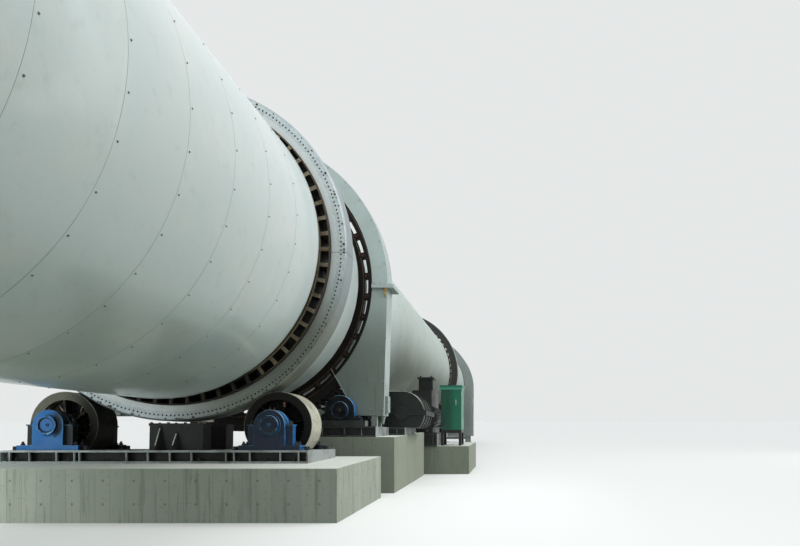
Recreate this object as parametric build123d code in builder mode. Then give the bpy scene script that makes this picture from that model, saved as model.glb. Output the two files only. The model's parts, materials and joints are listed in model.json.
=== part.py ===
from build123d import *
import math
import os

# A rotary drum dryer: a long, slightly sloping steel drum in insulated cladding. It turns
# on two tyres that lie in roller stations, and a toothed girth gear and pinion drive it.
# A fixed hood closes each end. Millimetres, +Z up, floor at Z = 0, +Y along the drum
# towards its low end. The origin is on the floor below the uphill tyre.
# "u" is a distance along the drum's axis from the middle of the uphill tyre, and "drop"
# is a distance below that axis, square to it.

# Drum line
slope_deg = 1.95
axis_height = 4120.0
tyre_spacing = 18400.0
overhang = 7000.0

# Shell, cladding and tyres
shell_r = 2320.0
shell_wall = 40.0
cladding_r = 2420.0
tyre_outer_r = 2750.0
tyre_bore_r = 2500.0
tyre_width = 400.0
tyre_bevel = 28.0
cladding_setback = 380.0
middle_cladding_end = 1800.0
far_cladding_start = 2470.0
cladding_end_gap = 200.0

# Pads between shell and tyre
pad_count = 60
pad_bar = 58.0
pad_length = 520.0
pad_band = 24.0
pad_seat = 2.0

# Roller stations
roller_r = 540.0
roller_width = 480.0
roller_angle_deg = 31.0
rolling_gap = 0.3
roller_rim = 130.0
roller_hub_r = 190.0
roller_web = 90.0
roller_ribs = 6
roller_rib = 26.0
rib_recess = 30.0
left_rib_deg = -35.0
right_rib_deg = -73.5
roller_shaft_r = 110.0
running_gap = 0.06

# Bearing housings of the rollers
housing_gap = 130.0
housing_width = 220.0
housing_arch_r = 235.0
housing_groove = 16.0
housing_band = 72.0
housing_foot = 940.0
housing_foot_height = 75.0
housing_wall = 36.0
cap_r = 150.0
cap_height = 24.0
cap_ring = 30.0
cap_ring_height = 16.0
lug_reach = 110.0
lug_width = 120.0
lug_flange = 20.0
bearing_height = 385.0

# Steel base frames
frame_height = 150.0
frame_half_x = 2330.0
frame_half_u = 700.0
frame_flange = 30.0
frame_web = 16.0
frame_rail = 200.0
crossbeam_flange = 160.0
frame_stiffeners = (-1885, -1475, -1130, -420, 235, 1085, 1445, 1905)
crossbeam_clear = 30.0

# Concrete
pier_half_x = 3040.0
pier_front = -1750.0
pier_back = 960.0
drive_pier_x = (900.0, 3150.0)
drive_pier_y = (1620.0, 5340.0)
drive_pier_height = 1068.0
motor_pier_x = (1600.0, 4250.0)
motor_pier_y = (5650.0, 8250.0)
motor_pier_height = 714.0

# Girth gear and pinion
gear_module = 40.0
gear_teeth = 142
pinion_teeth = 20
pressure_deg = 20.0
mesh_backlash = 3.0
tooth_levels = (-1.25, -0.45, 0.25, 1.0)
gear_station = 2225.0
gear_width = 300.0
pinion_width = 340.0
pinion_angle_deg = 50.0
gear_rim_r = 2640.0
gear_flange_r = 2570.0
gear_plate = 60.0
plate_lap = 10.0
web_slots = 38
slot_inner_r = 2462.0
slot_outer_r = 2522.0
slot_share = 0.67
seat_band = 25.0
seat_length = 200.0

# Gear guard
guard_outer_r = 2940.0
guard_near = 1994.0
guard_far = 2456.0
guard_sheet = 12.0
guard_split_drop = 45.0
guard_bottom_z = 1470.0
guard_taper = 60.0
guard_tray_x = 2560.0
cheek_notch_x = 2240.0
cheek_notch_drop = 2352.0
cheek_slant = ((2146.0, 2190.0), (1850.0, 1650.0))
flange_height = 35.0
flange_reach = 60.0
flange_length = 300.0
ear_length = 140.0
drain_r = (60.0, 22.0)
drain_height = 170.0
cover_size = (230.0, 320.0)
cover_drop = 2350.0
guard_post = 80.0
left_post_x = (-2690.0, -2610.0)
right_post_x = (2645.0, 2755.0)
right_post_inset = 50.0
post_plate_lip = (70.0, 5.0)

# Pinion drive
pinion_shaft_r = 110.0
pinion_arch_r = 285.0
pinion_foot = 820.0
pinion_foot_height = 60.0
pinion_cap_r = 170.0
pinion_housing_width = 170.0
pinion_bearing_height = 200.0
pinion_near_u = 1790.0
pinion_far_u = 2520.0
pinion_seat_height = 106.0
pinion_seat_x = (1580.0, 2587.0)
pinion_stiffeners = (1760.0, 2180.0)
gearbox_stiffeners = (2100.0, 2600.0)
drive_frame_x = (1300.0, 2790.0)
pinion_frame_u = (1740.0, 2960.0)
coupling_u = (2730.0, 2960.0)
coupling_r = (175.0, 235.0)
coupling_flange = (100.0, 90.0)
input_x = 3040.0
gearbox_u = (3080.0, 4250.0)
gearbox_r = 470.0
gearbox_foot_x = (1700.0, 3100.0)
gearbox_flange = (55.0, 90.0)
gearbox_rib = (18.0, 24.0)
gearbox_rib_shares = (0.2, 0.5, 0.8)
gearbox_cap_r = (215.0, 150.0)
gearbox_cap_height = 70.0
shaft_entry = 60.0
gearbox_frame_x = (1300.0, 3120.0)
gearbox_frame_u = (2980.0, 4330.0)

# Motor, its guard and its cabinet
guard_tube_r = 190.0
guard_tube_flange = (45.0, 40.0)
motor_u = (5800.0, 7150.0)
motor_r = 350.0
motor_fins = 30
motor_fin = (40.0, 14.0)
motor_end_r = 388.0
motor_end = 60.0
motor_height = 420.0
motor_foot_x = 370.0
motor_foot_height = 40.0
cooler_half_x = 250.0
cooler_top = 700.0
cooler_depth = 420.0
motor_frame_x = (2640.0, 3440.0)
motor_frame_u = (5720.0, 7230.0)
terminal_u = 6400.0
terminal_x = 3080.0
terminal_size = (370.0, 350.0, 460.0)
terminal_lid = (30.0, 40.0)
cabinet_x = (3500.0, 4030.0)
cabinet_y = (5950.0, 6650.0)
cabinet_bottom = 1120.0
cabinet_top = 2235.0
cabinet_door_split = 3680.0
cabinet_door = 12.0
cabinet_lid = (30.0, 45.0)
stand_leg = 70.0
stand_beam = 80.0

# Thrust roller, and the pedestals beside the uphill tyre
thrust_r = 180.0
thrust_thick = 110.0
thrust_clear = 6.0
thrust_x = 170.0
thrust_top_drop = 2635.0
thrust_pin_r = 60.0
thrust_pin_depth = 270.0
thrust_box_x = 232.0
thrust_box_width = 820.0
thrust_box_half = 130.0
thrust_box_drop = 2790.0
thrust_cap = 40.0
thrust_cap_lip = 10.0
gusset_foot = 170.0
gusset_thick = 30.0
gusset_offsets = (-242.0, 13.0)
gusset_top_depths = (40.0, 125.0)

# Hoods
hood_length = 1800.0
hood_bottom = 2850.0
hood_side = 360.0
hood_sheet = 14.0
hood_ring_gap = 45.0
hood_ring = (110.0, 90.0)
hood_ribs = (30.0, 520.0, 1290.0, 1750.0)
hood_rib = (60.0, 20.0)
hood_door = (640.0, 1150.0, 30.0)
hood_door_u = 915.0
hood_door_drop = 500.0
back_door = (900.0, 1300.0)
back_door_drop = 1300.0
duct_wall = 14.0
duct_rim = (90.0, 24.0)
gas_inlet_r = 800.0
gas_inlet_length = 330.0
feed_inlet = (1000.0, 800.0)
gas_outlet = (1500.0, 1000.0)
top_duct_height = 420.0
top_duct_root = 130.0
chute = (1300.0, 800.0)
chute_height = 220.0
shell_entry = 350.0
seal_r = 2460.0
seal_inset = 120.0
seal_thick = 30.0
post_size = 200.0
post_inset = 200.0
post_plate = (360.0, 20.0)
tie_beam = (120.0, 160.0, 20.0)

slope = math.radians(slope_deg)
downhill = Vector(0, math.cos(slope), -math.sin(slope))
square_down = Vector(0, -math.sin(slope), -math.cos(slope))


def spot(u, x=0.0, drop=0.0):
    return Vector(x, 0, axis_height) + downhill * u + square_down * drop


def station(u, x=0.0, drop=0.0):
    """Plane square to the drum: local x to the right, local y down, local z downhill."""
    return Plane(origin=spot(u, x, drop), x_dir=(1, 0, 0), z_dir=downhill)


def meridian(u, x=0.0, drop=0.0):
    """Plane through a turning axis: local x is radial, local y runs downhill."""
    across = (0, math.sin(slope), math.cos(slope))
    return Plane(origin=spot(u, x, drop), x_dir=(1, 0, 0), z_dir=across)


def lying(u, x, drop):
    """Plane in the drum's slope, facing down: local x to the right, local z down."""
    return Plane(origin=spot(u, x, drop), x_dir=(1, 0, 0), z_dir=square_down)


def turning_axis(x=0.0, drop=0.0):
    return Axis(tuple(spot(0, x, drop)), tuple(downhill))


def slope_z(y, drop):
    """Height, at a distance y, of the sloping plane a given drop below the drum's axis."""
    along = y + drop * math.sin(slope)
    return axis_height - along * math.tan(slope) - drop * math.cos(slope)


def side_profile(x_span, points):
    """Extrudes a face drawn in the Y-Z plane from one x to another, inside a part."""
    side = Plane(origin=(x_span[0], 0, 0), x_dir=(0, 1, 0), z_dir=(1, 0, 0))
    with BuildSketch(side, mode=Mode.PRIVATE) as profile:
        with BuildLine():
            Polyline(*points, close=True)
        make_face()
    extrude(profile.sketch, amount=x_span[1] - x_span[0])


def wedge(x_span, y_span, bottom, drop):
    """A block with a level bottom and a top in the drum's slope."""
    first_y, last_y = y_span
    side_profile(
        x_span,
        [
            (first_y, bottom),
            (last_y, bottom),
            (last_y, slope_z(last_y, drop)),
            (first_y, slope_z(first_y, drop)),
        ],
    )


def sloping_plate(x_span, y_span, drop, thickness):
    """A flat plate in the drum's slope, with its top at the given drop."""
    first_y, last_y = y_span
    side_profile(
        x_span,
        [
            (first_y, slope_z(first_y, drop + thickness)),
            (last_y, slope_z(last_y, drop + thickness)),
            (last_y, slope_z(last_y, drop)),
            (first_y, slope_z(first_y, drop)),
        ],
    )


def block(x_span, y_span, z_span):
    """A plain box between its low and high sides."""
    centre = [(low + high) / 2 for low, high in (x_span, y_span, z_span)]
    with Locations(tuple(centre)):
        Box(x_span[1] - x_span[0], y_span[1] - y_span[0], z_span[1] - z_span[0])


def keep(builder, label):
    builder.part.label = label
    export_step(builder.part, "parts/" + label + ".step")


os.makedirs("parts", exist_ok=True)

drum_start = -overhang
drum_end = tyre_spacing + overhang
half_tyre = tyre_width / 2
setback = half_tyre + cladding_setback
roller_centre = tyre_outer_r + rolling_gap + roller_r
roller_x = roller_centre * math.sin(math.radians(roller_angle_deg))
roller_drop = roller_centre * math.cos(math.radians(roller_angle_deg))
frame_top_drop = roller_drop + bearing_height
thrust_u = half_tyre + thrust_clear + thrust_r
hood_r = cladding_r + hood_side

# Drum shell: one plain tube from hood to hood
with BuildPart() as drum_shell:
    with BuildSketch(station(drum_start - shell_entry)):
        Circle(shell_r)
        Circle(shell_r - shell_wall, mode=Mode.SUBTRACT)
    extrude(amount=drum_end - drum_start + 2 * shell_entry)
keep(drum_shell, "drum_shell")

# Cladding: four lengths, left open at the tyres and at the girth gear
cladding_spans = (
    (drum_start + cladding_end_gap, -setback),
    (setback, middle_cladding_end),
    (far_cladding_start, tyre_spacing - setback),
    (tyre_spacing + setback, drum_end - cladding_end_gap),
)
with BuildPart() as cladding:
    for first_u, last_u in cladding_spans:
        with BuildSketch(station(first_u)):
            Circle(cladding_r)
            Circle(shell_r, mode=Mode.SUBTRACT)
        extrude(amount=last_u - first_u)
keep(cladding, "cladding")


def tyre(u):
    with BuildPart() as ring:
        with BuildSketch(meridian(u)):
            with BuildLine():
                Polyline(
                    (tyre_bore_r, -half_tyre),
                    (tyre_outer_r - tyre_bevel, -half_tyre),
                    (tyre_outer_r, -half_tyre + tyre_bevel),
                    (tyre_outer_r, half_tyre - tyre_bevel),
                    (tyre_outer_r - tyre_bevel, half_tyre),
                    (tyre_bore_r, half_tyre),
                    close=True,
                )
            make_face()
        revolve(axis=turning_axis())
    return ring


def pads(u):
    """A band on the shell, a band in the tyre, and the bars that join them."""
    bar_inner = shell_r + pad_band
    bar_outer = tyre_bore_r - pad_band
    with BuildPart() as ring:
        with BuildSketch(station(u - pad_length / 2)):
            Circle(tyre_bore_r)
            Circle(bar_outer, mode=Mode.SUBTRACT)
            Circle(bar_inner)
            Circle(shell_r, mode=Mode.SUBTRACT)
            with PolarLocations((bar_inner + bar_outer) / 2, pad_count):
                Rectangle(bar_outer - bar_inner + 2 * pad_seat, pad_bar)
        extrude(amount=pad_length)
    return ring


for side, tyre_u in (("near", 0.0), ("far", tyre_spacing)):
    keep(tyre(tyre_u), side + "_tyre")
    keep(pads(tyre_u), side + "_tyre_pads")

pinion_pitch_r = gear_module * pinion_teeth / 2
gear_pitch_r = gear_module * gear_teeth / 2
pinion_centre = gear_pitch_r + pinion_pitch_r
pinion_x = pinion_centre * math.cos(math.radians(pinion_angle_deg))
pinion_drop = pinion_centre * math.sin(math.radians(pinion_angle_deg))
pinion_seat_drop = pinion_drop + pinion_bearing_height
drive_frame_drop = pinion_seat_drop + pinion_seat_height
gearbox_height = drive_frame_drop - pinion_drop
motor_frame_drop = pinion_drop + motor_height


def tooth_half_angle(radius, pitch_r, teeth):
    """Half the angle of an involute tooth at a radius, thinned for backlash."""
    base_r = pitch_r * math.cos(math.radians(pressure_deg))
    at_pitch = math.pi / (2 * teeth) - mesh_backlash / (2 * pitch_r)
    involute_pitch = math.tan(math.radians(pressure_deg)) - math.radians(pressure_deg)
    if radius <= base_r:
        return at_pitch + involute_pitch
    pressure = math.acos(base_r / radius)
    return at_pitch + involute_pitch - (math.tan(pressure) - pressure)


def tooth_outline(teeth, first_deg):
    """Points of a whole toothed wheel, with a tooth centred on the first angle."""
    pitch_r = gear_module * teeth / 2
    radii = [pitch_r + level * gear_module for level in tooth_levels]
    points = []
    for index in range(teeth):
        centre = math.radians(first_deg + index * 360.0 / teeth)
        for radius in radii:
            angle = centre - tooth_half_angle(radius, pitch_r, teeth)
            points.append((radius * math.cos(angle), radius * math.sin(angle)))
        for radius in reversed(radii):
            angle = centre + tooth_half_angle(radius, pitch_r, teeth)
            points.append((radius * math.cos(angle), radius * math.sin(angle)))
    return points


# Girth gear: a toothed rim with a flange on its inside, bolted to the slotted web
with BuildPart() as girth_gear:
    with BuildSketch(station(gear_station - gear_width / 2)):
        with BuildLine():
            Polyline(*tooth_outline(gear_teeth, pinion_angle_deg), close=True)
        make_face()
        Circle(gear_rim_r, mode=Mode.SUBTRACT)
    extrude(amount=gear_width)
    with BuildSketch(station(gear_station)):
        Circle(gear_rim_r + plate_lap)
        Circle(gear_flange_r, mode=Mode.SUBTRACT)
    extrude(amount=gear_plate)
keep(girth_gear, "girth_gear")

slot_deg = 360.0 / web_slots * slot_share
with BuildPart() as gear_web:
    with BuildSketch(station(gear_station - gear_plate)):
        Circle(gear_rim_r - plate_lap)
        Circle(shell_r, mode=Mode.SUBTRACT)
        for slot in range(web_slots):
            first_deg = slot * 360.0 / web_slots - slot_deg / 2
            with BuildLine():
                inner = CenterArc((0, 0), slot_inner_r, first_deg, slot_deg)
                outer = CenterArc((0, 0), slot_outer_r, first_deg, slot_deg)
                Line(inner @ 0, outer @ 0)
                Line(inner @ 1, outer @ 1)
            make_face(mode=Mode.SUBTRACT)
    extrude(amount=gear_plate)
    with BuildSketch(station(gear_station - seat_length / 2)):
        Circle(shell_r + seat_band)
        Circle(shell_r, mode=Mode.SUBTRACT)
    extrude(amount=seat_length)
keep(gear_web, "gear_web")

# Pinion: a gap between two teeth faces the girth gear's tooth
with BuildPart() as pinion:
    with BuildSketch(station(gear_station - pinion_width / 2, pinion_x, pinion_drop)):
        with BuildLine():
            Polyline(
                *tooth_outline(pinion_teeth, pinion_angle_deg + 180 + 180 / pinion_teeth),
                close=True,
            )
        make_face()
        Circle(pinion_shaft_r, mode=Mode.SUBTRACT)
    extrude(amount=pinion_width)
keep(pinion, "pinion")

shaft_start = pinion_near_u + housing_wall
with BuildPart() as pinion_shaft:
    with BuildSketch(station(shaft_start, pinion_x, pinion_drop)):
        Circle(pinion_shaft_r)
    extrude(amount=gearbox_u[0] + shaft_entry - shaft_start)
keep(pinion_shaft, "pinion_shaft")

with BuildPart() as coupling:
    for first_u, length, radius in (
        (coupling_u[0], coupling_u[1] - coupling_u[0], coupling_r[0]),
        (coupling_u[0] + coupling_flange[0], coupling_flange[1], coupling_r[1]),
    ):
        with BuildSketch(station(first_u, pinion_x, pinion_drop)):
            Circle(radius)
            Circle(pinion_shaft_r, mode=Mode.SUBTRACT)
        extrude(amount=length)
keep(coupling, "output_coupling")

half_roller = roller_width / 2
shaft_half = half_roller + housing_gap + housing_width - housing_wall


def roller(u, x, first_rib_deg):
    """A wheel with a heavy rim, a recessed web with ribs, a hub and its shaft."""
    rim_inner = roller_r - roller_rim
    half_web = roller_web / 2
    with BuildPart() as wheel:
        with BuildSketch(meridian(u, x, roller_drop)):
            with BuildLine():
                Polyline(
                    (0, -shaft_half),
                    (roller_shaft_r, -shaft_half),
                    (roller_shaft_r, -half_roller),
                    (roller_hub_r, -half_roller),
                    (roller_hub_r, -half_web),
                    (rim_inner, -half_web),
                    (rim_inner, -half_roller),
                    (roller_r, -half_roller),
                    (roller_r, half_roller),
                    (rim_inner, half_roller),
                    (rim_inner, half_web),
                    (roller_hub_r, half_web),
                    (roller_hub_r, half_roller),
                    (roller_shaft_r, half_roller),
                    (roller_shaft_r, shaft_half),
                    (0, shaft_half),
                    close=True,
                )
            make_face()
        revolve(axis=turning_axis(x, roller_drop))
        with BuildSketch(station(u - half_roller + rib_recess, x, roller_drop)):
            rib_middle = (roller_hub_r + rim_inner) / 2
            with PolarLocations(rib_middle, roller_ribs, start_angle=first_rib_deg):
                Rectangle(rim_inner - roller_hub_r + 2 * plate_lap, roller_rib)
        extrude(amount=roller_width - 2 * rib_recess)
    return wheel


def arch(radius, height):
    """A half-round head on straight sides, down to a level given below its centre."""
    Circle(radius)
    with Locations((0, height / 2)):
        Rectangle(2 * radius, height)


def housings(u):
    """Four bearing blocks: grooved arch, foot, bolt lugs at the sides and a ringed cap."""
    bore_depth = housing_width - housing_wall
    with BuildPart() as blocks:
        for x in (-roller_x, roller_x):
            for end in (-1, 1):
                inner_u = u + end * (half_roller + housing_gap)
                outer_u = inner_u + end * housing_width
                middle_u = (inner_u + outer_u) / 2
                with BuildSketch(station(inner_u, x, roller_drop)):
                    arch(housing_arch_r - housing_groove, bearing_height)
                    with Locations((0, bearing_height - housing_foot_height / 2)):
                        Rectangle(housing_foot, housing_foot_height)
                extrude(amount=end * housing_width)
                for face_u, inward in ((inner_u, end), (outer_u, -end)):
                    with BuildSketch(station(face_u, x, roller_drop)):
                        arch(housing_arch_r, bearing_height)
                    extrude(amount=inward * housing_band)
                for side in (-1, 1):
                    lug_x = x + side * (housing_arch_r + lug_reach / 2 - plate_lap)
                    with Locations(station(middle_u, lug_x, roller_drop + bearing_height / 2)):
                        Box(lug_reach + 2 * plate_lap, bearing_height, lug_width)
                    with Locations(station(middle_u, lug_x, roller_drop)):
                        Box(lug_reach + 4 * plate_lap, lug_flange, lug_width + 2 * lug_flange)
                with BuildSketch(station(outer_u, x, roller_drop)):
                    Circle(cap_r)
                extrude(amount=end * cap_height)
                with BuildSketch(station(outer_u + end * cap_height, x, roller_drop)):
                    Circle(cap_r)
                    Circle(cap_r - cap_ring, mode=Mode.SUBTRACT)
                extrude(amount=end * cap_ring_height)
                with BuildSketch(station(inner_u, x, roller_drop)):
                    Circle(roller_shaft_r + running_gap)
                extrude(amount=end * bore_depth, mode=Mode.SUBTRACT)
    return blocks


for side, tyre_u in (("near", 0.0), ("far", tyre_spacing)):
    keep(roller(tyre_u, -roller_x, left_rib_deg), side + "_left_roller")
    keep(roller(tyre_u, roller_x, right_rib_deg), side + "_right_roller")
    keep(housings(tyre_u), side + "_bearing_housings")

# Thrust roller: it turns on an upright pin and stops the uphill tyre from sliding downhill
with BuildPart() as thrust:
    with BuildSketch(lying(thrust_u, thrust_x, thrust_top_drop)):
        Circle(thrust_r)
    extrude(amount=thrust_thick)
    with BuildSketch(lying(thrust_u, thrust_x, thrust_top_drop)):
        Circle(thrust_pin_r)
    extrude(amount=thrust_pin_depth)
keep(thrust, "downhill_thrust_roller")

# Pedestals on both sides of the uphill tyre: a box with a capping plate, stiffened by two
# gussets on its outer face. The roller's pin stands in the downhill one
with BuildPart() as thrust_boxes:
    box_height = frame_top_drop - thrust_box_drop
    for end in (-1, 1):
        box_u = end * thrust_u
        face_u = box_u + end * thrust_box_half
        with Locations(station(box_u, thrust_box_x, thrust_box_drop + box_height / 2)):
            Box(thrust_box_width, box_height, 2 * thrust_box_half)
        with Locations(station(box_u, thrust_box_x, thrust_box_drop + thrust_cap / 2)):
            Box(thrust_box_width + 2 * thrust_cap_lip, thrust_cap, 2 * thrust_box_half + 2 * thrust_cap_lip)
        for offset, depth in zip(gusset_offsets, gusset_top_depths):
            first_x = thrust_box_x + offset - gusset_thick / 2
            corners = [
                spot(face_u, 0, thrust_box_drop + depth),
                spot(face_u, 0, frame_top_drop),
                spot(face_u + end * gusset_foot, 0, frame_top_drop),
            ]
            side_profile((first_x, first_x + gusset_thick), [(c.Y, c.Z) for c in corners])
    with BuildSketch(lying(thrust_u, thrust_x, thrust_box_drop)):
        Circle(thrust_pin_r + running_gap)
    extrude(amount=box_height / 2, mode=Mode.SUBTRACT)
keep(thrust_boxes, "thrust_housings")


def base_frame(y_span, x_span, drop, bottom, stiffeners, crossbeams):
    """Two I-beams across, joined by cross beams and end plates. The bottom is level on the
    concrete, and the top follows the drum's slope."""
    front_y = y_span[0] + frame_rail / 2
    back_y = y_span[1] - frame_rail / 2
    with BuildPart() as frame:
        for y in (front_y, back_y):
            rail_span = (y - frame_rail / 2, y + frame_rail / 2)
            block(x_span, rail_span, (bottom, bottom + frame_flange))
            sloping_plate(x_span, rail_span, drop, frame_flange)
            wedge(x_span, (y - frame_web / 2, y + frame_web / 2), bottom, drop)
            for x in stiffeners:
                wedge((x - frame_web / 2, x + frame_web / 2), rail_span, bottom, drop)
        for first_x in (x_span[0], x_span[1] - frame_web):
            wedge((first_x, first_x + frame_web), y_span, bottom, drop)
        for x in crossbeams:
            wedge((x - frame_web / 2, x + frame_web / 2), y_span, bottom, drop)
            half = crossbeam_flange / 2
            sloping_plate((x - half, x + half), y_span, drop, frame_flange)
    return frame


def beside(radius, height):
    """How far a cross beam stands from a wheel's centre line, where the wheel dips into
    the frame that lies the given height below its centre."""
    dip = math.sqrt(radius**2 - height**2)
    return dip + crossbeam_flange / 2 + crossbeam_clear


def frame_y(u_span, drop):
    """How far a frame reaches along Y, from its ends along the drum."""
    return (spot(u_span[0], 0, drop).Y, spot(u_span[1], 0, drop).Y)


def lowest_top(u_span, drop):
    return spot(u_span[1], 0, drop).Z


# Roller stations: the pier's height leaves a frame of the named height at its low end
roller_beam = beside(roller_r, bearing_height)
thrust_beam = thrust_box_width / 2 - crossbeam_flange / 2
station_beams = [
    -roller_x - roller_beam,
    -roller_x + roller_beam,
    thrust_box_x - thrust_beam,
    thrust_box_x + thrust_beam,
    roller_x - roller_beam,
    roller_x + roller_beam,
]
for side, tyre_u in (("near", 0.0), ("far", tyre_spacing)):
    reach = (tyre_u - frame_half_u, tyre_u + frame_half_u)
    pier_top = lowest_top(reach, frame_top_drop) - frame_height
    frame_x = (-frame_half_x, frame_half_x)
    y_span = frame_y(reach, frame_top_drop)
    middle_y = (y_span[0] + y_span[1]) / 2 - spot(0, 0, frame_top_drop).Y
    frame = base_frame(y_span, frame_x, frame_top_drop, pier_top, frame_stiffeners, station_beams)
    keep(frame, side + "_base_frame")
    with BuildPart() as pier:
        block(
            (-pier_half_x, pier_half_x),
            (middle_y + pier_front, middle_y + pier_back),
            (0, pier_top),
        )
    keep(pier, side + "_pier")

for label, x_span, y_span, height in (
    ("drive_pier", drive_pier_x, drive_pier_y, drive_pier_height),
    ("motor_pier", motor_pier_x, motor_pier_y, motor_pier_height),
):
    with BuildPart() as pier:
        block(x_span, y_span, (0, height))
    keep(pier, label)

# Pinion frame: two seats on it lift the pinion's bearings
pinion_frame_y = frame_y(pinion_frame_u, drive_frame_drop)
pinion_beam = beside(pinion_pitch_r + gear_module, gearbox_height)
with BuildPart() as pinion_frame:
    lower = base_frame(
        pinion_frame_y,
        drive_frame_x,
        drive_frame_drop,
        drive_pier_height,
        pinion_stiffeners,
        (pinion_x - pinion_beam, pinion_x + pinion_beam),
    )
    add(lower.part)
    for first_u in (pinion_near_u, pinion_far_u):
        seat_u = first_u + pinion_housing_width / 2
        seat_drop = pinion_seat_drop + pinion_seat_height / 2
        seat_x = (pinion_seat_x[0] + pinion_seat_x[1]) / 2
        seat_width = pinion_seat_x[1] - pinion_seat_x[0]
        with Locations(station(seat_u, seat_x, seat_drop)):
            Box(seat_width, pinion_seat_height, pinion_housing_width + 4 * plate_lap)
keep(pinion_frame, "pinion_base_frame")

gearbox_frame_y = frame_y(gearbox_frame_u, drive_frame_drop)
gearbox_frame = base_frame(
    gearbox_frame_y,
    gearbox_frame_x,
    drive_frame_drop,
    drive_pier_height,
    gearbox_stiffeners,
    (gearbox_foot_x[0] + crossbeam_flange / 2, gearbox_foot_x[1] - crossbeam_flange),
)
keep(gearbox_frame, "gearbox_base_frame")
motor_frame_y = frame_y(motor_frame_u, motor_frame_drop)
motor_beam = motor_foot_x - crossbeam_flange / 2
motor_frame = base_frame(
    motor_frame_y,
    motor_frame_x,
    motor_frame_drop,
    motor_pier_height,
    (input_x,),
    (input_x - motor_beam, input_x + motor_beam),
)
keep(motor_frame, "motor_base_frame")

# Pinion bearings: the near one is blind, and the shaft passes through the far one
with BuildPart() as pinion_housings:
    for inner_u, end in (
        (pinion_near_u + pinion_housing_width, -1),
        (pinion_far_u, 1),
    ):
        with BuildSketch(station(inner_u, pinion_x, pinion_drop)):
            arch(pinion_arch_r, pinion_bearing_height)
            with Locations((0, pinion_bearing_height + pinion_arch_r / 2)):
                Rectangle(2 * pinion_arch_r, pinion_arch_r, mode=Mode.SUBTRACT)
            with Locations((0, pinion_bearing_height - pinion_foot_height / 2)):
                Rectangle(pinion_foot, pinion_foot_height)
        extrude(amount=end * pinion_housing_width)
    with BuildSketch(station(pinion_near_u, pinion_x, pinion_drop)):
        Circle(pinion_cap_r)
    extrude(amount=-cap_height)
    with BuildSketch(station(pinion_near_u - cap_height, pinion_x, pinion_drop)):
        Circle(pinion_cap_r)
        Circle(pinion_cap_r - cap_ring, mode=Mode.SUBTRACT)
    extrude(amount=-cap_ring_height)
    with BuildSketch(station(shaft_start - plate_lap, pinion_x, pinion_drop)):
        Circle(pinion_shaft_r + running_gap)
    extrude(amount=pinion_far_u + pinion_housing_width - pinion_near_u, mode=Mode.SUBTRACT)
keep(pinion_housings, "pinion_housings")


def casing_outline(radius):
    """The gearbox seen along its shafts: round ends over its two shafts, flat below."""
    SlotCenterToCenter(input_x - pinion_x, 2 * radius)
    with Locations((0, gearbox_height + radius / 2)):
        Rectangle(input_x - pinion_x + 2 * radius, radius, mode=Mode.SUBTRACT)


gearbox_length = gearbox_u[1] - gearbox_u[0]
gearbox_middle_x = (pinion_x + input_x) / 2
foot_middle_x = (gearbox_foot_x[0] + gearbox_foot_x[1]) / 2
with BuildPart() as gearbox:
    with BuildSketch(station(gearbox_u[0], gearbox_middle_x, pinion_drop)):
        casing_outline(gearbox_r)
    extrude(amount=gearbox_length)
    with BuildSketch(station(gearbox_u[0], foot_middle_x, pinion_drop + gearbox_height / 2)):
        Rectangle(gearbox_foot_x[1] - gearbox_foot_x[0], gearbox_height)
    extrude(amount=gearbox_length)
    for share in gearbox_rib_shares:
        rib_u = gearbox_u[0] + gearbox_length * share
        with BuildSketch(station(rib_u, gearbox_middle_x, pinion_drop)):
            casing_outline(gearbox_r + gearbox_rib[0])
        extrude(amount=gearbox_rib[1])
    flange_u = gearbox_u[0] - gearbox_flange[0]
    with BuildSketch(station(flange_u, gearbox_middle_x, pinion_drop)):
        Rectangle(input_x - pinion_x + 2 * (gearbox_r + gearbox_flange[0]), gearbox_flange[1])
    extrude(amount=gearbox_length + 2 * gearbox_flange[0])
    for x, radius in ((pinion_x, gearbox_cap_r[0]), (input_x, gearbox_cap_r[1])):
        with BuildSketch(station(gearbox_u[0] - gearbox_cap_height, x, pinion_drop)):
            Circle(radius)
        extrude(amount=gearbox_length + 2 * gearbox_cap_height)
    with BuildSketch(station(gearbox_u[0] - gearbox_cap_height, pinion_x, pinion_drop)):
        Circle(pinion_shaft_r + running_gap)
    extrude(amount=gearbox_cap_height + shaft_entry + plate_lap, mode=Mode.SUBTRACT)
keep(gearbox, "gearbox")

guard_start = gearbox_u[1] + gearbox_cap_height
with BuildPart() as coupling_guard:
    with BuildSketch(station(guard_start, input_x, pinion_drop)):
        Circle(guard_tube_r)
    extrude(amount=motor_u[0] - guard_start)
    for first_u in (guard_start, motor_u[0] - guard_tube_flange[1]):
        with BuildSketch(station(first_u, input_x, pinion_drop)):
            Circle(guard_tube_r + guard_tube_flange[0])
        extrude(amount=guard_tube_flange[1])
keep(coupling_guard, "coupling_guard")

# Motor: a finned body between two end rings, with an air box along its top
with BuildPart() as motor:
    with BuildSketch(station(motor_u[0], input_x, pinion_drop)):
        Circle(motor_r)
        with PolarLocations(motor_r + motor_fin[0] / 4, motor_fins):
            Rectangle(1.5 * motor_fin[0], motor_fin[1])
        with Locations((0, motor_height - motor_foot_x / 2)):
            Rectangle(1.5 * motor_foot_x, motor_foot_x)
        with Locations((0, motor_height - motor_foot_height / 2)):
            Rectangle(2 * motor_foot_x, motor_foot_height)
        with Locations((0, cooler_depth / 2 - cooler_top)):
            Rectangle(2 * cooler_half_x, cooler_depth)
    extrude(amount=motor_u[1] - motor_u[0])
    for first_u in (motor_u[0], motor_u[1] - motor_end):
        with BuildSketch(station(first_u, input_x, pinion_drop)):
            Circle(motor_end_r)
        extrude(amount=motor_end)
keep(motor, "drive_motor")

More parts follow.
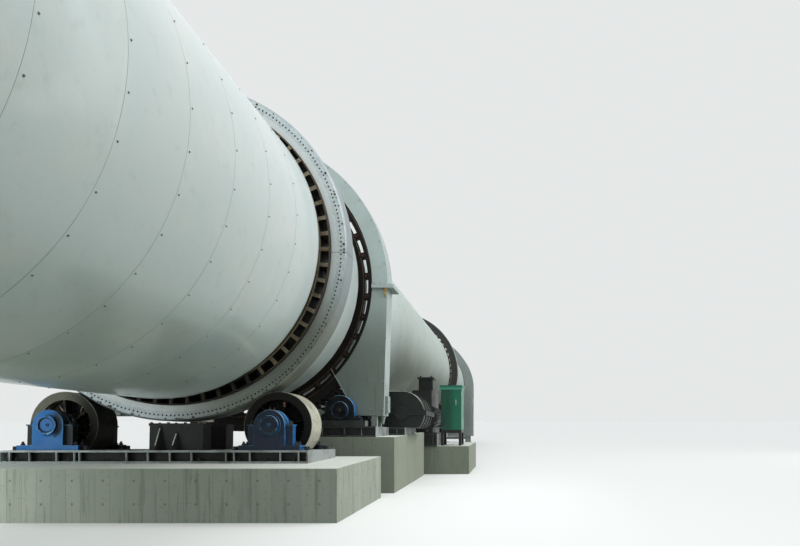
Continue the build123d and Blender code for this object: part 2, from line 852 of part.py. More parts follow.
terminal_foot_drop = pinion_drop - cooler_top
with BuildPart() as terminal_box:
    with Locations(station(terminal_u, terminal_x, terminal_foot_drop - terminal_size[1] / 2)):
        Box(*terminal_size)
    with Locations(station(terminal_u, terminal_x, terminal_foot_drop - terminal_size[1])):
        Box(
            terminal_size[0] + 2 * terminal_lid[0],
            terminal_lid[1],
            terminal_size[2] + 2 * terminal_lid[0],
        )
keep(terminal_box, "terminal_box")

# Cabinet with two doors, on an open stand
with BuildPart() as cabinet:
    block(cabinet_x, cabinet_y, (cabinet_bottom, cabinet_top))
    block(
        (cabinet_x[0] - cabinet_lid[0], cabinet_x[1] + cabinet_lid[0]),
        (cabinet_y[0] - cabinet_lid[0], cabinet_y[1] + cabinet_lid[0]),
        (cabinet_top, cabinet_top + cabinet_lid[1]),
    )
    for door_x in (
        (cabinet_x[0] + cabinet_door, cabinet_door_split - cabinet_door / 2),
        (cabinet_door_split + cabinet_door / 2, cabinet_x[1] - cabinet_door),
    ):
        block(
            door_x,
            (cabinet_y[0] - cabinet_door, cabinet_y[0]),
            (cabinet_bottom + 2 * cabinet_door, cabinet_top - 2 * cabinet_door),
        )
keep(cabinet, "drive_cabinet")

with BuildPart() as cabinet_stand:
    beam_span = (cabinet_bottom - stand_beam, cabinet_bottom)
    for x in (cabinet_x[0], cabinet_x[1] - stand_leg):
        block((x, x + stand_leg), cabinet_y, beam_span)
        for y in (cabinet_y[0], cabinet_y[1] - stand_leg):
            block((x, x + stand_leg), (y, y + stand_leg), (motor_pier_height, cabinet_bottom))
    for y in (cabinet_y[0], cabinet_y[1] - stand_leg):
        block(cabinet_x, (y, y + stand_leg), beam_span)
keep(cabinet_stand, "cabinet_stand")

# Gear guard, split at about the height of the drum's axis
guard_middle_u = (guard_near + guard_far) / 2
guard_depth = guard_far - guard_near
guard_bottom = (spot(gear_station).Z - guard_bottom_z) / math.cos(slope)
plate_stations = (guard_near, guard_far - guard_sheet)


def split_flanges(drop):
    """Flanges along the guard's split: on its two side plates and round its outer edge."""
    plate_x = guard_outer_r - flange_length / 2
    ear_x = guard_outer_r + flange_reach
    for side in (-1, 1):
        for edge_u in (guard_near - flange_reach / 2, guard_far + flange_reach / 2):
            with Locations(station(edge_u, side * plate_x, drop)):
                Box(flange_length, flange_height, flange_reach)
        with Locations(station(guard_middle_u, side * ear_x, drop)):
            Box(ear_length, flange_height, guard_depth + 2 * flange_reach)


with BuildPart() as guard_upper:
    for plate_u, length, inner_r in (
        (plate_stations[0], guard_sheet, gear_rim_r),
        (plate_stations[1], guard_sheet, gear_rim_r),
        (guard_near, guard_depth, guard_outer_r - guard_sheet),
    ):
        with BuildSketch(station(plate_u)):
            Circle(guard_outer_r)
            Circle(inner_r, mode=Mode.SUBTRACT)
            with Locations((0, guard_split_drop + guard_outer_r)):
                Rectangle(3 * guard_outer_r, 2 * guard_outer_r, mode=Mode.SUBTRACT)
        extrude(amount=length)
    split_flanges(guard_split_drop - flange_height / 2)
keep(guard_upper, "gear_guard_upper")

# Lower guard: cheeks beside the gear, and a bent strip that ends in a drip tray
cheek = [
    (guard_outer_r, guard_split_drop),
    (guard_outer_r - guard_taper, guard_bottom),
    (cheek_notch_x, guard_bottom),
    (cheek_notch_x, cheek_notch_drop),
    cheek_slant[0],
    cheek_slant[1],
    (cheek_slant[1][0], guard_split_drop),
]
strip = [
    cheek[0],
    cheek[1],
    (guard_tray_x, guard_bottom),
    (guard_tray_x, guard_bottom - guard_sheet),
    (cheek[1][0] - guard_sheet, guard_bottom - guard_sheet),
    (cheek[0][0] - guard_sheet, guard_split_drop),
]
drain_x = cheek[1][0] - drain_r[0]
with BuildPart() as guard_lower:
    for side in (-1, 1):
        for plate_u in plate_stations:
            with BuildSketch(station(plate_u)):
                with BuildLine():
                    Polyline(*[(side * x, y) for x, y in cheek], close=True)
                make_face()
                Circle(gear_rim_r, mode=Mode.SUBTRACT)
            extrude(amount=guard_sheet)
        with BuildSketch(station(guard_near)):
            with BuildLine():
                Polyline(*[(side * x, y) for x, y in strip], close=True)
            make_face()
        extrude(amount=guard_depth)
        drain_drop = guard_bottom + drain_height / 2 - guard_sheet / 2
        drain_seat = lying(guard_middle_u, side * drain_x, drain_drop)
        with Locations(drain_seat):
            Cone(drain_r[0], drain_r[1], drain_height)
        with Locations(station(guard_middle_u, side * (guard_outer_r - guard_taper / 2), cover_drop)):
            Box(guard_taper, cover_size[1], cover_size[0])
    split_flanges(guard_split_drop + flange_height / 2)
keep(guard_lower, "gear_guard_lower")

# Guard posts: to the floor on the free side, to the pinion's frame on the drive side
with BuildPart() as guard_posts:
    post_y = spot(guard_middle_u, 0, guard_bottom).Y
    for y in (post_y - guard_depth / 2, post_y + guard_depth / 2 - guard_post):
        wedge(left_post_x, (y, y + guard_post), 0, guard_bottom)
        block(
            (left_post_x[0] - post_plate_lip[0], left_post_x[1] + post_plate_lip[0]),
            (y - post_plate_lip[1], y + guard_post + post_plate_lip[1]),
            (0, post_plate[1]),
        )
    right_height = drive_frame_drop - guard_bottom
    right_middle = (right_post_x[0] + right_post_x[1]) / 2
    for u in (guard_near + right_post_inset, guard_far - right_post_inset):
        with Locations(station(u, right_middle, guard_bottom + right_height / 2)):
            Box(right_post_x[1] - right_post_x[0], right_height, guard_post)
keep(guard_posts, "guard_posts")


def hood_outline(side, mode=Mode.ADD):
    """Round over the drum, straight at the sides, flat at the bottom."""
    Circle(side, mode=mode)
    inset = hood_r - side if side < hood_r else 0
    bottom = hood_bottom - inset
    with Locations((0, bottom / 2)):
        Rectangle(2 * side, bottom, mode=mode)


def duct(plane, width, depth, length):
    """An open rectangular duct end with a rim, standing on a plane."""
    with BuildSketch(plane, mode=Mode.PRIVATE) as wall:
        Rectangle(width, depth)
        Rectangle(width - 2 * duct_wall, depth - 2 * duct_wall, mode=Mode.SUBTRACT)
    extrude(wall.sketch, amount=length)
    with BuildSketch(plane.offset(length - duct_rim[1]), mode=Mode.PRIVATE) as rim:
        Rectangle(width + 2 * duct_rim[0], depth + 2 * duct_rim[0])
        Rectangle(width - 2 * duct_wall, depth - 2 * duct_wall, mode=Mode.SUBTRACT)
    extrude(rim.sketch, amount=duct_rim[1])


def hood(face_u, end):
    """A fixed casing round the drum's open end, with ribs and an inspection door each side."""
    with BuildPart() as casing:
        with BuildSketch(station(face_u)):
            hood_outline(hood_r)
            hood_outline(hood_r - hood_sheet, mode=Mode.SUBTRACT)
        extrude(amount=end * hood_length)
        with BuildSketch(station(face_u)):
            hood_outline(hood_r)
            Circle(shell_r + hood_ring_gap, mode=Mode.SUBTRACT)
        extrude(amount=end * hood_sheet)
        with BuildSketch(station(face_u + end * (hood_length - hood_sheet))):
            hood_outline(hood_r)
        extrude(amount=end * hood_sheet)
        with BuildSketch(station(face_u)):
            Circle(shell_r + hood_ring_gap + hood_ring[0])
            Circle(shell_r + hood_ring_gap, mode=Mode.SUBTRACT)
        extrude(amount=-end * hood_ring[1])
        for offset in hood_ribs:
            with BuildSketch(station(face_u + end * offset)):
                hood_outline(hood_r + hood_rib[0])
                hood_outline(hood_r, mode=Mode.SUBTRACT)
            extrude(amount=end * hood_rib[1])
        for side in (-1, 1):
            door_x = side * (hood_r + hood_door[2] / 2)
            with Locations(station(face_u + end * hood_door_u, door_x, hood_door_drop)):
                Box(hood_door[2], hood_door[1], hood_door[0])
    return casing


# Feed hood: round hot gas inlet on its back, feed inlet on its top
with BuildPart() as feed_hood:
    add(hood(drum_start, -1).part)
    back_u = drum_start - hood_length
    with BuildSketch(station(back_u)):
        Circle(gas_inlet_r)
        Circle(gas_inlet_r - duct_wall, mode=Mode.SUBTRACT)
    extrude(amount=-gas_inlet_length)
    with BuildSketch(station(back_u - gas_inlet_length + duct_rim[1])):
        Circle(gas_inlet_r + duct_rim[0])
        Circle(gas_inlet_r - duct_wall, mode=Mode.SUBTRACT)
    extrude(amount=-duct_rim[1])
    root = lying(drum_start - hood_door_u, 0, top_duct_root - hood_r)
    top = Plane(origin=root.origin, x_dir=(1, 0, 0), z_dir=-square_down)
    duct(top, feed_inlet[0], feed_inlet[1], top_duct_height)
keep(feed_hood, "feed_hood")

# Discharge hood: gas outlet on its top, product chute below, a door in its back
with BuildPart() as discharge_hood:
    add(hood(drum_end, 1).part)
    root = lying(drum_end + hood_door_u, 0, top_duct_root - hood_r)
    top = Plane(origin=root.origin, x_dir=(1, 0, 0), z_dir=-square_down)
    duct(top, gas_outlet[0], gas_outlet[1], top_duct_height + top_duct_root)
    duct(lying(drum_end + hood_door_u, 0, hood_bottom), chute[0], chute[1], chute_height)
    back_face = drum_end + hood_length + hood_door[2] / 2
    with Locations(station(back_face, 0, back_door_drop)):
        Box(back_door[0], back_door[1], hood_door[2])
keep(discharge_hood, "discharge_hood")

# Seal discs: they turn with the shell, close to the ring at the mouth of each hood
with BuildPart() as seal_discs:
    for face_u, end in ((drum_start, -1), (drum_end, 1)):
        with BuildSketch(station(face_u - end * seal_inset)):
            Circle(seal_r)
            Circle(shell_r, mode=Mode.SUBTRACT)
        extrude(amount=-end * seal_thick)
keep(seal_discs, "seal_discs")

with BuildPart() as hood_stands:
    post_x = hood_r - post_inset
    for face_u, end in ((drum_start, -1), (drum_end, 1)):
        for u in (face_u + end * post_inset, face_u + end * (hood_length - post_inset)):
            foot_y = spot(u, 0, hood_bottom).Y
            half = post_size / 2
            for x in (-post_x, post_x):
                wedge((x - half, x + half), (foot_y - half, foot_y + half), 0, hood_bottom)
                half_plate = post_plate[0] / 2
                block(
                    (x - half_plate, x + half_plate),
                    (foot_y - half_plate, foot_y + half_plate),
                    (0, post_plate[1]),
                )
            beam_top = slope_z(foot_y, hood_bottom) - tie_beam[2]
            block(
                (-post_x, post_x),
                (foot_y - tie_beam[0] / 2, foot_y + tie_beam[0] / 2),
                (beam_top - tie_beam[1], beam_top),
            )
keep(hood_stands, "hood_stands")
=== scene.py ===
import math
import random

import bmesh
import bpy
from mathutils import Matrix, Vector
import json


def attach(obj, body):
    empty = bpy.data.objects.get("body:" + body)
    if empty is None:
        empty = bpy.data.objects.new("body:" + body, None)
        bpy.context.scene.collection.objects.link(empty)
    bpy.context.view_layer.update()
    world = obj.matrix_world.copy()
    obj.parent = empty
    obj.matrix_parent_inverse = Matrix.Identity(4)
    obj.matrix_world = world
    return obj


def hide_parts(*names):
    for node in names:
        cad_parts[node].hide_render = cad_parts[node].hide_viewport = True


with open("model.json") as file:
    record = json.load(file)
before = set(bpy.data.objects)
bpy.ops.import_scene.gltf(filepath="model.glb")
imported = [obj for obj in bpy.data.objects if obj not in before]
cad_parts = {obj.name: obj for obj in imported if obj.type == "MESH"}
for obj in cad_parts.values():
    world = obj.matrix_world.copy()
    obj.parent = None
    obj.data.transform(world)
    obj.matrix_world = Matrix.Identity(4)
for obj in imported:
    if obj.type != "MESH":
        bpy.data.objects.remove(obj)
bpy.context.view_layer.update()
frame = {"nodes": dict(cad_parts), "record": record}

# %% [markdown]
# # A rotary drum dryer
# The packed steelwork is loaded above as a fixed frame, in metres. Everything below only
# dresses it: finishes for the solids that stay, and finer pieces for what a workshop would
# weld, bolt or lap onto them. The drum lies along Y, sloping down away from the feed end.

bpy.context.scene.view_settings.view_transform = "Standard"
SLOPE = math.radians(1.95)
ALONG = Vector((0, math.cos(SLOPE), -math.sin(SLOPE)))
SQUARE_UP = Vector((0, math.sin(SLOPE), math.cos(SLOPE)))
ACROSS = Vector((1, 0, 0))
UP = Vector((0, 0, 1))
AXIS_HEIGHT = 4.12


def station(u, x=0.0, drop=0.0):
    """A point u metres along the drum, x to its right and drop below its axis."""
    return Vector((x, 0, AXIS_HEIGHT)) + ALONG * u - SQUARE_UP * drop


def outward(degrees):
    """The direction out from the drum's axis. 0 is to the right, 90 is up."""
    a = math.radians(degrees)
    return ACROSS * math.cos(a) + SQUARE_UP * math.sin(a)


def on_drum(u, radius, degrees):
    return station(u) + outward(degrees) * radius


# %% [markdown]
# ## The camera
# A view camera keeps uprights upright: it looks level, straight down the hall, and the
# picture is framed by shifting the lens sideways and up instead of turning the camera.

# %% Camera
lens = bpy.data.cameras.new("view_camera")
lens.sensor_fit = "HORIZONTAL"
lens.sensor_width = 36.0
lens.lens = 27.99
lens.shift_x = -0.1475
lens.shift_y = 0.18125
lens.clip_end = 400
camera = bpy.data.objects.new("view_camera", lens)
camera.location = (5.5, -10.2, 1.43)
camera.rotation_euler = (math.radians(90), 0, 0)
bpy.context.scene.collection.objects.link(camera)
bpy.context.scene.camera = camera
print("camera stands", round((camera.location - station(0)).length, 2), "m from the near tyre")

# %% [markdown]
# ## Floor and light
# A long machine needs light that is the same at both ends, so the main lamps are wide soft
# suns: one from high on the right, one from above and a weak one from the front. Three panels
# near the front end add light that falls off along the machine, as from a gate, and a long one
# high on the right shows in the steel and paint, as a roof light does. The floor and the world
# are pale to the camera and in reflections, and darker for the bounced light, so that the
# underside of the drum goes as dark as it does in a shed.


# %% Floor, world and lamps
def pale_when_seen(tree, seen, unseen, output, add_shader):
    """Joins two shaders: one for what looks at the surface, one for bounced light."""
    rays = tree.nodes.new("ShaderNodeLightPath").outputs
    looked_at = rays["Is Camera Ray"]
    for kind in ("Is Glossy Ray", "Is Transmission Ray"):
        either = tree.nodes.new("ShaderNodeMath")
        either.operation = "MAXIMUM"
        tree.links.new(looked_at, either.inputs[0])
        tree.links.new(rays[kind], either.inputs[1])
        looked_at = either.outputs[0]
    mix = tree.nodes.new("ShaderNodeMixShader")
    for k, source in enumerate((looked_at, add_shader(unseen), add_shader(seen))):
        tree.links.new(source, mix.inputs[k])
    tree.links.new(mix.outputs[0], output)


def build_floor():
    mesh = bpy.data.meshes.new("studio_floor")
    mesh.from_pydata([(-150, -60, 0), (150, -60, 0), (150, 240, 0), (-150, 240, 0)], [], [(0, 1, 2, 3)])
    floor = bpy.data.objects.new("studio_floor", mesh)
    bpy.context.scene.collection.objects.link(floor)
    paint = bpy.data.materials.new("studio_floor")
    paint.use_nodes = True
    tree = paint.node_tree
    tree.nodes.clear()
    out = tree.nodes.new("ShaderNodeOutputMaterial")

    def matt(colour):
        node = tree.nodes.new("ShaderNodeBsdfDiffuse")
        node.inputs["Color"].default_value = (*colour, 1)
        return node.outputs[0]

    pale_when_seen(tree, (0.80, 0.81, 0.80), (0.19, 0.22, 0.17), out.inputs["Surface"], matt)
    mesh.materials.append(paint)


def build_world():
    world = bpy.data.worlds.new("studio_air")
    bpy.context.scene.world = world
    world.use_nodes = True
    tree = world.node_tree
    tree.nodes.clear()
    out = tree.nodes.new("ShaderNodeOutputWorld")

    def glow(setting):
        node = tree.nodes.new("ShaderNodeBackground")
        node.inputs["Color"].default_value = (*setting[0], 1)
        node.inputs["Strength"].default_value = setting[1]
        return node.outputs[0]

    pale_when_seen(tree, ((0.88, 0.90, 0.90), 0.9), ((0.88, 0.95, 1.0), 0.25), out.inputs["Surface"], glow)


def hang_lamp(name, kind, towards, colour):
    lamp = bpy.data.lights.new(name, kind)
    lamp.color = colour
    holder = bpy.data.objects.new(name, lamp)
    holder.rotation_mode = "QUATERNION"
    holder.rotation_quaternion = Vector(towards).to_track_quat("-Z", "Y")
    bpy.context.scene.collection.objects.link(holder)
    return holder


def soft_sun(name, towards, strength, spread, colour=(1, 1, 1)):
    lamp = hang_lamp(name, "SUN", towards, colour).data
    lamp.energy = strength
    lamp.angle = math.radians(spread)


def soft_panel(name, at, aim, size, watts, colour=(1, 1, 1), shows=False):
    """A lit panel that the camera doesn't see. Shows says whether reflections see it."""
    panel = hang_lamp(name, "AREA", Vector(aim) - Vector(at), colour)
    panel.location = at
    panel.visible_camera = False
    panel.visible_glossy = shows
    panel.data.shape = "RECTANGLE"
    panel.data.size, panel.data.size_y = size
    panel.data.energy = watts


build_floor()
build_world()
soft_sun("window_side", (-0.79, 0.03, -0.61), 1.9, 42, (1.0, 0.99, 0.97))
soft_sun("roof_light", (-0.05, 0.05, -1.0), 1.3, 80, (0.96, 0.99, 1.0))
soft_sun("front_fill", (0.2, 1.0, -0.25), 0.12, 60)
soft_panel("left_panel", (-4.2, -3.6, 0.7), (-1.8, -0.9, 0.3), (2.4, 1.2), 135, (0.97, 1.0, 0.98))
soft_panel("high_panel", (1.5, -6.5, 10.5), (1.2, 0.5, 6.2), (6.0, 4.0), 290)
soft_panel("gap_panel", (6.8, 0.6, 4.8), (2.5, 1.0, 4.1), (1.4, 1.4), 60)
soft_panel("roof_strip", (13.0, 9.0, 14.0), (1.5, 3.0, 4.5), (1.0, 40.0), 260, (1.0, 0.99, 0.97), True)

# %% [markdown]
# ## A small kit for node trees
# A finish is worked out by small steps joined by wires: a place on the machine goes in, a mask
# or a height comes out. These few steps are all that the effects and finishes below need.


# %% Wiring
class Wiring:
    """Adds nodes to a tree and joins them."""

    def __init__(self, tree):
        self.tree = tree

    def node(self, kind, **settings):
        made = self.tree.nodes.new(kind)
        for key, value in settings.items():
            setattr(made, key, value)
        return made

    def feed(self, source, target):
        """Joins an output to a socket, or gives the socket a plain value."""
        if hasattr(source, "is_output"):
            self.tree.links.new(source, target)
        else:
            target.default_value = source

    def maths(self, operation, a, b=0.0):
        step = self.node("ShaderNodeMath", operation=operation)
        self.feed(a, step.inputs[0])
        self.feed(b, step.inputs[1])
        return step.outputs[0]

    def times(self, *factors):
        product = factors[0]
        for factor in factors[1:]:
            product = self.maths("MULTIPLY", product, factor)
        return product

    def hypotenuse(self, a, b):
        return self.maths("SQRT", self.maths("ADD", self.times(a, a), self.times(b, b)))

    def between(self, value, low, high):
        """Stretches value so that low gives 0 and high gives 1."""
        step = self.node("ShaderNodeMapRange", interpolation_type="SMOOTHSTEP")
        for label, source in (("Value", value), ("From Min", low), ("From Max", high)):
            self.feed(source, step.inputs[label])
        return step.outputs["Result"]

    def strip(self, value, low, high, soft=0.003):
        """1 where value is from low to high, 0 elsewhere."""
        return self.times(self.between(value, low - soft, low), self.between(value, high + soft, high))

    def dot(self, vector, direction):
        step = self.node("ShaderNodeVectorMath", operation="DOT_PRODUCT")
        self.feed(vector, step.inputs[0])
        self.feed(direction, step.inputs[1])
        return step.outputs["Value"]

    def split(self, vector):
        step = self.node("ShaderNodeSeparateXYZ")
        self.feed(vector, step.inputs[0])
        return step.outputs

    def spot(self):
        """Where the point is on the machine at rest, as one vector in metres."""
        return self.node("ShaderNodeTexCoord").outputs["Object"]

    def facing(self):
        """The way the face looks, as one vector."""
        return self.node("ShaderNodeNewGeometry").outputs["Normal"]

    def noise(self, vector, scale, detail, rough):
        step = self.node("ShaderNodeTexNoise")
        for label, source in (("Vector", vector), ("Scale", scale), ("Detail", detail), ("Roughness", rough)):
            self.feed(source, step.inputs[label])
        return step.outputs["Fac"]


print("steps in the kit:", ", ".join(step for step in vars(Wiring) if not step.startswith("_")))

# %% [markdown]
# ### Wear and dirt shared by all finishes
# Rain, oil and dust leave the same marks on steel and concrete: soft patches, runs downwards,
# dust on what looks up and bare metal along the edges. Each is one node group that puts out a
# mask, built once, so every finish takes the same wear in its own colour.


# %% Patches, runs, grain, dust and rubbed edges
def effect_group(name, inputs, outputs):
    """An empty node group with named inputs, their usual values and named outputs."""
    group = bpy.data.node_groups.new(name, "ShaderNodeTree")
    for label, usual in inputs.items():
        socket = group.interface.new_socket(label, in_out="INPUT", socket_type="NodeSocketFloat")
        socket.default_value = usual
    for label in outputs:
        group.interface.new_socket(label, in_out="OUTPUT", socket_type="NodeSocketFloat")
    return Wiring(group), group.nodes.new("NodeGroupInput").outputs, group.nodes.new("NodeGroupOutput").inputs


def sized_noise(wires, given, detail, rough):
    """Noise in blotches about Size metres across."""
    return wires.noise(wires.spot(), wires.maths("DIVIDE", 1.0, given["Size"]), detail, rough)


def cover_level(wires, given):
    """The grey above which about Cover of the noise lies."""
    return wires.maths("SUBTRACT", 0.72, wires.times(given["Cover"], 0.44))


def build_patches():
    """Soft blotches of about one size. Cover says how much of the surface they take."""
    wires, given, out = effect_group("patches", {"Size": 1.0, "Cover": 0.5, "Softness": 0.15}, ["Mask"])
    grey, middle = sized_noise(wires, given, 5.0, 0.6), cover_level(wires, given)
    low = wires.maths("SUBTRACT", middle, given["Softness"])
    high = wires.maths("ADD", middle, given["Softness"])
    wires.feed(wires.between(grey, low, high), out["Mask"])


def build_runs():
    """Streaks that water leaves down an upright face."""
    wires, given, out = effect_group("runs", {"Width": 0.05, "Length": 1.0, "Cover": 0.5}, ["Mask"])
    place, squeeze = wires.split(wires.spot()), wires.node("ShaderNodeCombineXYZ")
    for axis, size in (("X", "Width"), ("Y", "Width"), ("Z", "Length")):
        wires.feed(wires.maths("DIVIDE", place[axis], given[size]), squeeze.inputs[axis])
    grey, middle = wires.noise(squeeze.outputs[0], 1.0, 3.0, 0.5), cover_level(wires, given)
    wires.feed(wires.between(grey, middle, wires.maths("ADD", middle, 0.16)), out["Mask"])


def build_grain():
    """Fine tooth of paint, sand-blast or casting."""
    wires, given, out = effect_group("grain", {"Size": 0.004}, ["Height"])
    wires.feed(sized_noise(wires, given, 3.0, 0.6), out["Height"])


def build_dust():
    """Dust that settles where a face looks up."""
    wires, given, out = effect_group("dust", {"Size": 0.3}, ["Mask"])
    looks_up = wires.between(wires.split(wires.facing())["Z"], 0.35, 0.95)
    uneven = wires.between(sized_noise(wires, given, 5.0, 0.6), 0.25, 0.6)
    wires.feed(wires.times(looks_up, uneven), out["Mask"])


def build_rubbed_edges():
    """Edges where paint thins. A bevelled normal differs from the plain one only near an edge."""
    wires, given, out = effect_group("rubbed edges", {"Width": 0.006, "Size": 0.08}, ["Mask"])
    soft = wires.node("ShaderNodeBevel", samples=4)
    wires.feed(given["Width"], soft.inputs["Radius"])
    turned_away = wires.maths("SUBTRACT", 1.0, wires.dot(soft.outputs["Normal"], wires.facing()))
    uneven = wires.between(sized_noise(wires, given, 4.0, 0.6), 0.36, 0.6)
    wires.feed(wires.times(wires.between(turned_away, 0.01, 0.16), uneven), out["Mask"])


def from_near_tyre(wires):
    """The way from the middle of the near tyre to the point."""
    step = wires.node("ShaderNodeVectorMath", operation="SUBTRACT")
    wires.feed(wires.spot(), step.inputs[0])
    wires.feed(station(0), step.inputs[1])
    return step.outputs[0]


def build_round_the_drum():
    """Where a point is on the drum: metres along it, metres out from the axis, and turns round it."""
    wires, _, out = effect_group("round the drum", {}, ["Along", "Out", "Turn"])
    way = from_near_tyre(wires)
    side, height = wires.dot(way, ACROSS), wires.dot(way, SQUARE_UP)
    wires.feed(wires.dot(way, ALONG), out["Along"])
    wires.feed(wires.hypotenuse(side, height), out["Out"])
    wires.feed(wires.maths("DIVIDE", wires.maths("ARCTAN2", height, side), 2 * math.pi), out["Turn"])


def build_round_a_shaft():
    """How far a point is from a shaft that lies along the drum, on either side of it."""
    wires, given, out = effect_group("round a shaft", {"Side": 1.0, "Drop": 0.0}, ["Out"])
    way = from_near_tyre(wires)
    across = wires.maths("SUBTRACT", wires.maths("ABSOLUTE", wires.split(way)["X"]), given["Side"])
    below = wires.maths("ADD", wires.dot(way, SQUARE_UP), given["Drop"])
    wires.feed(wires.hypotenuse(across, below), out["Out"])


for build in (build_patches, build_runs, build_grain, build_dust, build_rubbed_edges, build_round_the_drum,
              build_round_a_shaft):
    build()
print("effects:", ", ".join(group.name for group in bpy.data.node_groups))


# %% [markdown]
# ## A finish
# A finish is one Principled shader whose colour, roughness and surface relief are built up
# in coats, as on the real thing: a ground colour, then each mark over it.


# %% The finish kit
def shade(red, green, blue):
    """A colour as it looks on a screen, 0 to 255, as the linear colour that a shader takes."""
    return tuple((c / 255) ** 2.2 for c in (red, green, blue))


class Finish(Wiring):
    """Builds a material coat by coat."""

    def __init__(self, name, colour, roughness, metallic=0.0, coat=0.0):
        self.name, self.material = name, bpy.data.materials.new(name)
        self.material.use_nodes = True
        super().__init__(self.material.node_tree)
        self.shader = self.tree.nodes["Principled BSDF"].inputs
        self.colour, self.roughness, self.relief = (*colour, 1), roughness, None
        for label, value in (("Base Color", self.colour), ("Roughness", roughness), ("Metallic", metallic),
                             ("Coat Weight", coat), ("Coat Roughness", 0.12), ("Specular IOR Level", 0.5)):
            self.shader[label].default_value = value
        self.material.diffuse_color = self.colour

    def effect(self, name, **values):
        placed = self.node("ShaderNodeGroup")
        placed.node_tree = bpy.data.node_groups[name]
        for label, value in values.items():
            self.feed(value, placed.inputs[label])
        return placed.outputs

    def patches(self, size, cover, softness):
        return self.effect("patches", Size=size, Cover=cover, Softness=softness)["Mask"]

    def runs(self, width, length, cover):
        return self.effect("runs", Width=width, Length=length, Cover=cover)["Mask"]

    def tint(self, mask, colour, amount=1.0):
        mix = self.node("ShaderNodeMix", data_type="RGBA")
        self.feed(self.times(mask, amount), mix.inputs[0])
        self.feed(self.colour, mix.inputs[6])
        self.feed((*colour, 1), mix.inputs[7])
        self.colour = mix.outputs[2]
        self.feed(self.colour, self.shader["Base Color"])

    def blotch(self, size, cover, softness, colour, amount):
        self.tint(self.patches(size, cover, softness), colour, amount)

    def dull(self, mask, roughness, amount=1.0):
        mix = self.node("ShaderNodeMix", data_type="FLOAT")
        self.feed(self.times(mask, amount), mix.inputs[0])
        self.feed(self.roughness, mix.inputs[2])
        self.feed(roughness, mix.inputs[3])
        self.roughness = mix.outputs[0]
        self.feed(self.roughness, self.shader["Roughness"])

    def bump(self, height, distance, strength):
        step = self.node("ShaderNodeBump")
        for label, source in (("Distance", distance), ("Strength", strength), ("Height", height)):
            self.feed(source, step.inputs[label])
        if self.relief is not None:
            self.feed(self.relief, step.inputs["Normal"])
        self.relief = step.outputs["Normal"]
        self.feed(self.relief, self.shader["Normal"])


finishes = {}


def keep(finish):
    finishes[finish.name] = finish.material


print("a mid grey of 128 is", round(shade(128, 128, 128)[0], 3), "to a shader")

# %% [markdown]
# ### Cladding sheet
# Thin colour-coated sheet round the insulation: pale, glossy, a little wavy, with smudges
# left by hands and dust, and faint bruises between its screws. Beyond the gear it is duller,
# and it is painted darker there as shade, most of all on its lower side.


# %% Cladding finish
def cladding_finish():
    sheet = Finish("cladding_sheet", shade(199, 210, 209), 0.32, metallic=0.1)
    sheet.blotch(2.6, 0.5, 0.2, shade(184, 202, 204), 0.5)
    sheet.blotch(0.7, 0.35, 0.1, shade(214, 215, 210), 0.35)
    sheet.blotch(0.16, 0.12, 0.12, shade(170, 178, 172), 0.35)
    place = sheet.effect("round the drum")
    beyond_gear = sheet.between(place["Along"], 3.2, 7.5)
    # Painted shade: beyond the gear the sheet is painted darker, and its lower side there much darker.
    sheet.tint(beyond_gear, shade(158, 168, 160), 0.55)
    low_side_shade = sheet.times(sheet.between(place["Turn"], 0.02, -0.08), sheet.between(place["Turn"], -0.50, -0.40))
    sheet.tint(sheet.times(beyond_gear, low_side_shade), shade(72, 80, 68), 0.88)
    sheet.feed(sheet.times(sheet.between(place["Along"], 4.0, 2.0), 0.55), sheet.shader["Coat Weight"])
    sheet.dull(beyond_gear, 0.8)
    sheet.dull(sheet.patches(0.9, 0.5, 0.12), 0.5, 0.6)
    sheet.bump(sheet.patches(0.55, 0.5, 0.3), 0.006, 0.5)
    sheet.bump(sheet.effect("grain", Size=0.012)["Height"], 0.0006, 0.25)
    return sheet


keep(cladding_finish())
print("cladding nodes:", len(finishes["cladding_sheet"].node_tree.nodes))

# %% [markdown]
# ### Bare machined steel
# The tyres, rollers and gear are turned on a lathe, so their marks run round the axis. Where
# steel rolls on steel it is polished, and elsewhere a film of oil and brown dust dulls it.

# %% Steel finishes
TYRES = {"near": 0.0, "far": 18.4}
ROLLER_X, ROLLER_DROP = 1.6946, 2.8204


def tyre_finish():
    steel = Finish("tyre_steel", shade(207, 217, 218), 0.44, metallic=0.4)
    place = steel.effect("round the drum")
    rings = steel.node("ShaderNodeTexNoise", noise_dimensions="1D")
    steel.feed(place["Out"], rings.inputs["W"])
    steel.feed(160.0, rings.inputs["Scale"])
    steel.blotch(0.6, 0.45, 0.16, shade(170, 188, 196), 0.5)
    steel.tint(steel.between(rings.outputs["Fac"], 0.45, 0.75), shade(160, 170, 170), 0.35)
    steel.blotch(0.03, 0.4, 0.12, shade(140, 150, 152), 0.45)
    steel.blotch(0.16, 0.16, 0.1, shade(146, 144, 128), 0.4)
    steel.tint(steel.between(place["Out"], 2.61, 2.58), shade(218, 223, 221), 0.6)
    steel.tint(steel.between(place["Out"], 2.705, 2.735), shade(116, 126, 130), 0.8)
    turn = place["Turn"]
    # Painted shade: the tyres are darkened on their lower right side.
    oily = steel.times(steel.between(turn, -0.27, -0.19), steel.between(turn, -0.02, -0.09))
    steel.tint(oily, shade(108, 109, 94), 0.75)
    ring_joint = steel.strip(turn, -0.0022, -0.0019, 0.0002)
    steel.tint(ring_joint, shade(60, 66, 66), 0.8)
    # Painted shade: the far tyre's near face is painted near black.
    far_near_face_shade = steel.strip(place["Along"], 18.1, 18.22)
    steel.tint(far_near_face_shade, shade(30, 30, 28), 0.92)
    steel.dull(steel.patches(0.3, 0.5, 0.1), 0.5, 0.6)
    steel.bump(rings.outputs["Fac"], 0.0008, 0.4)
    return steel


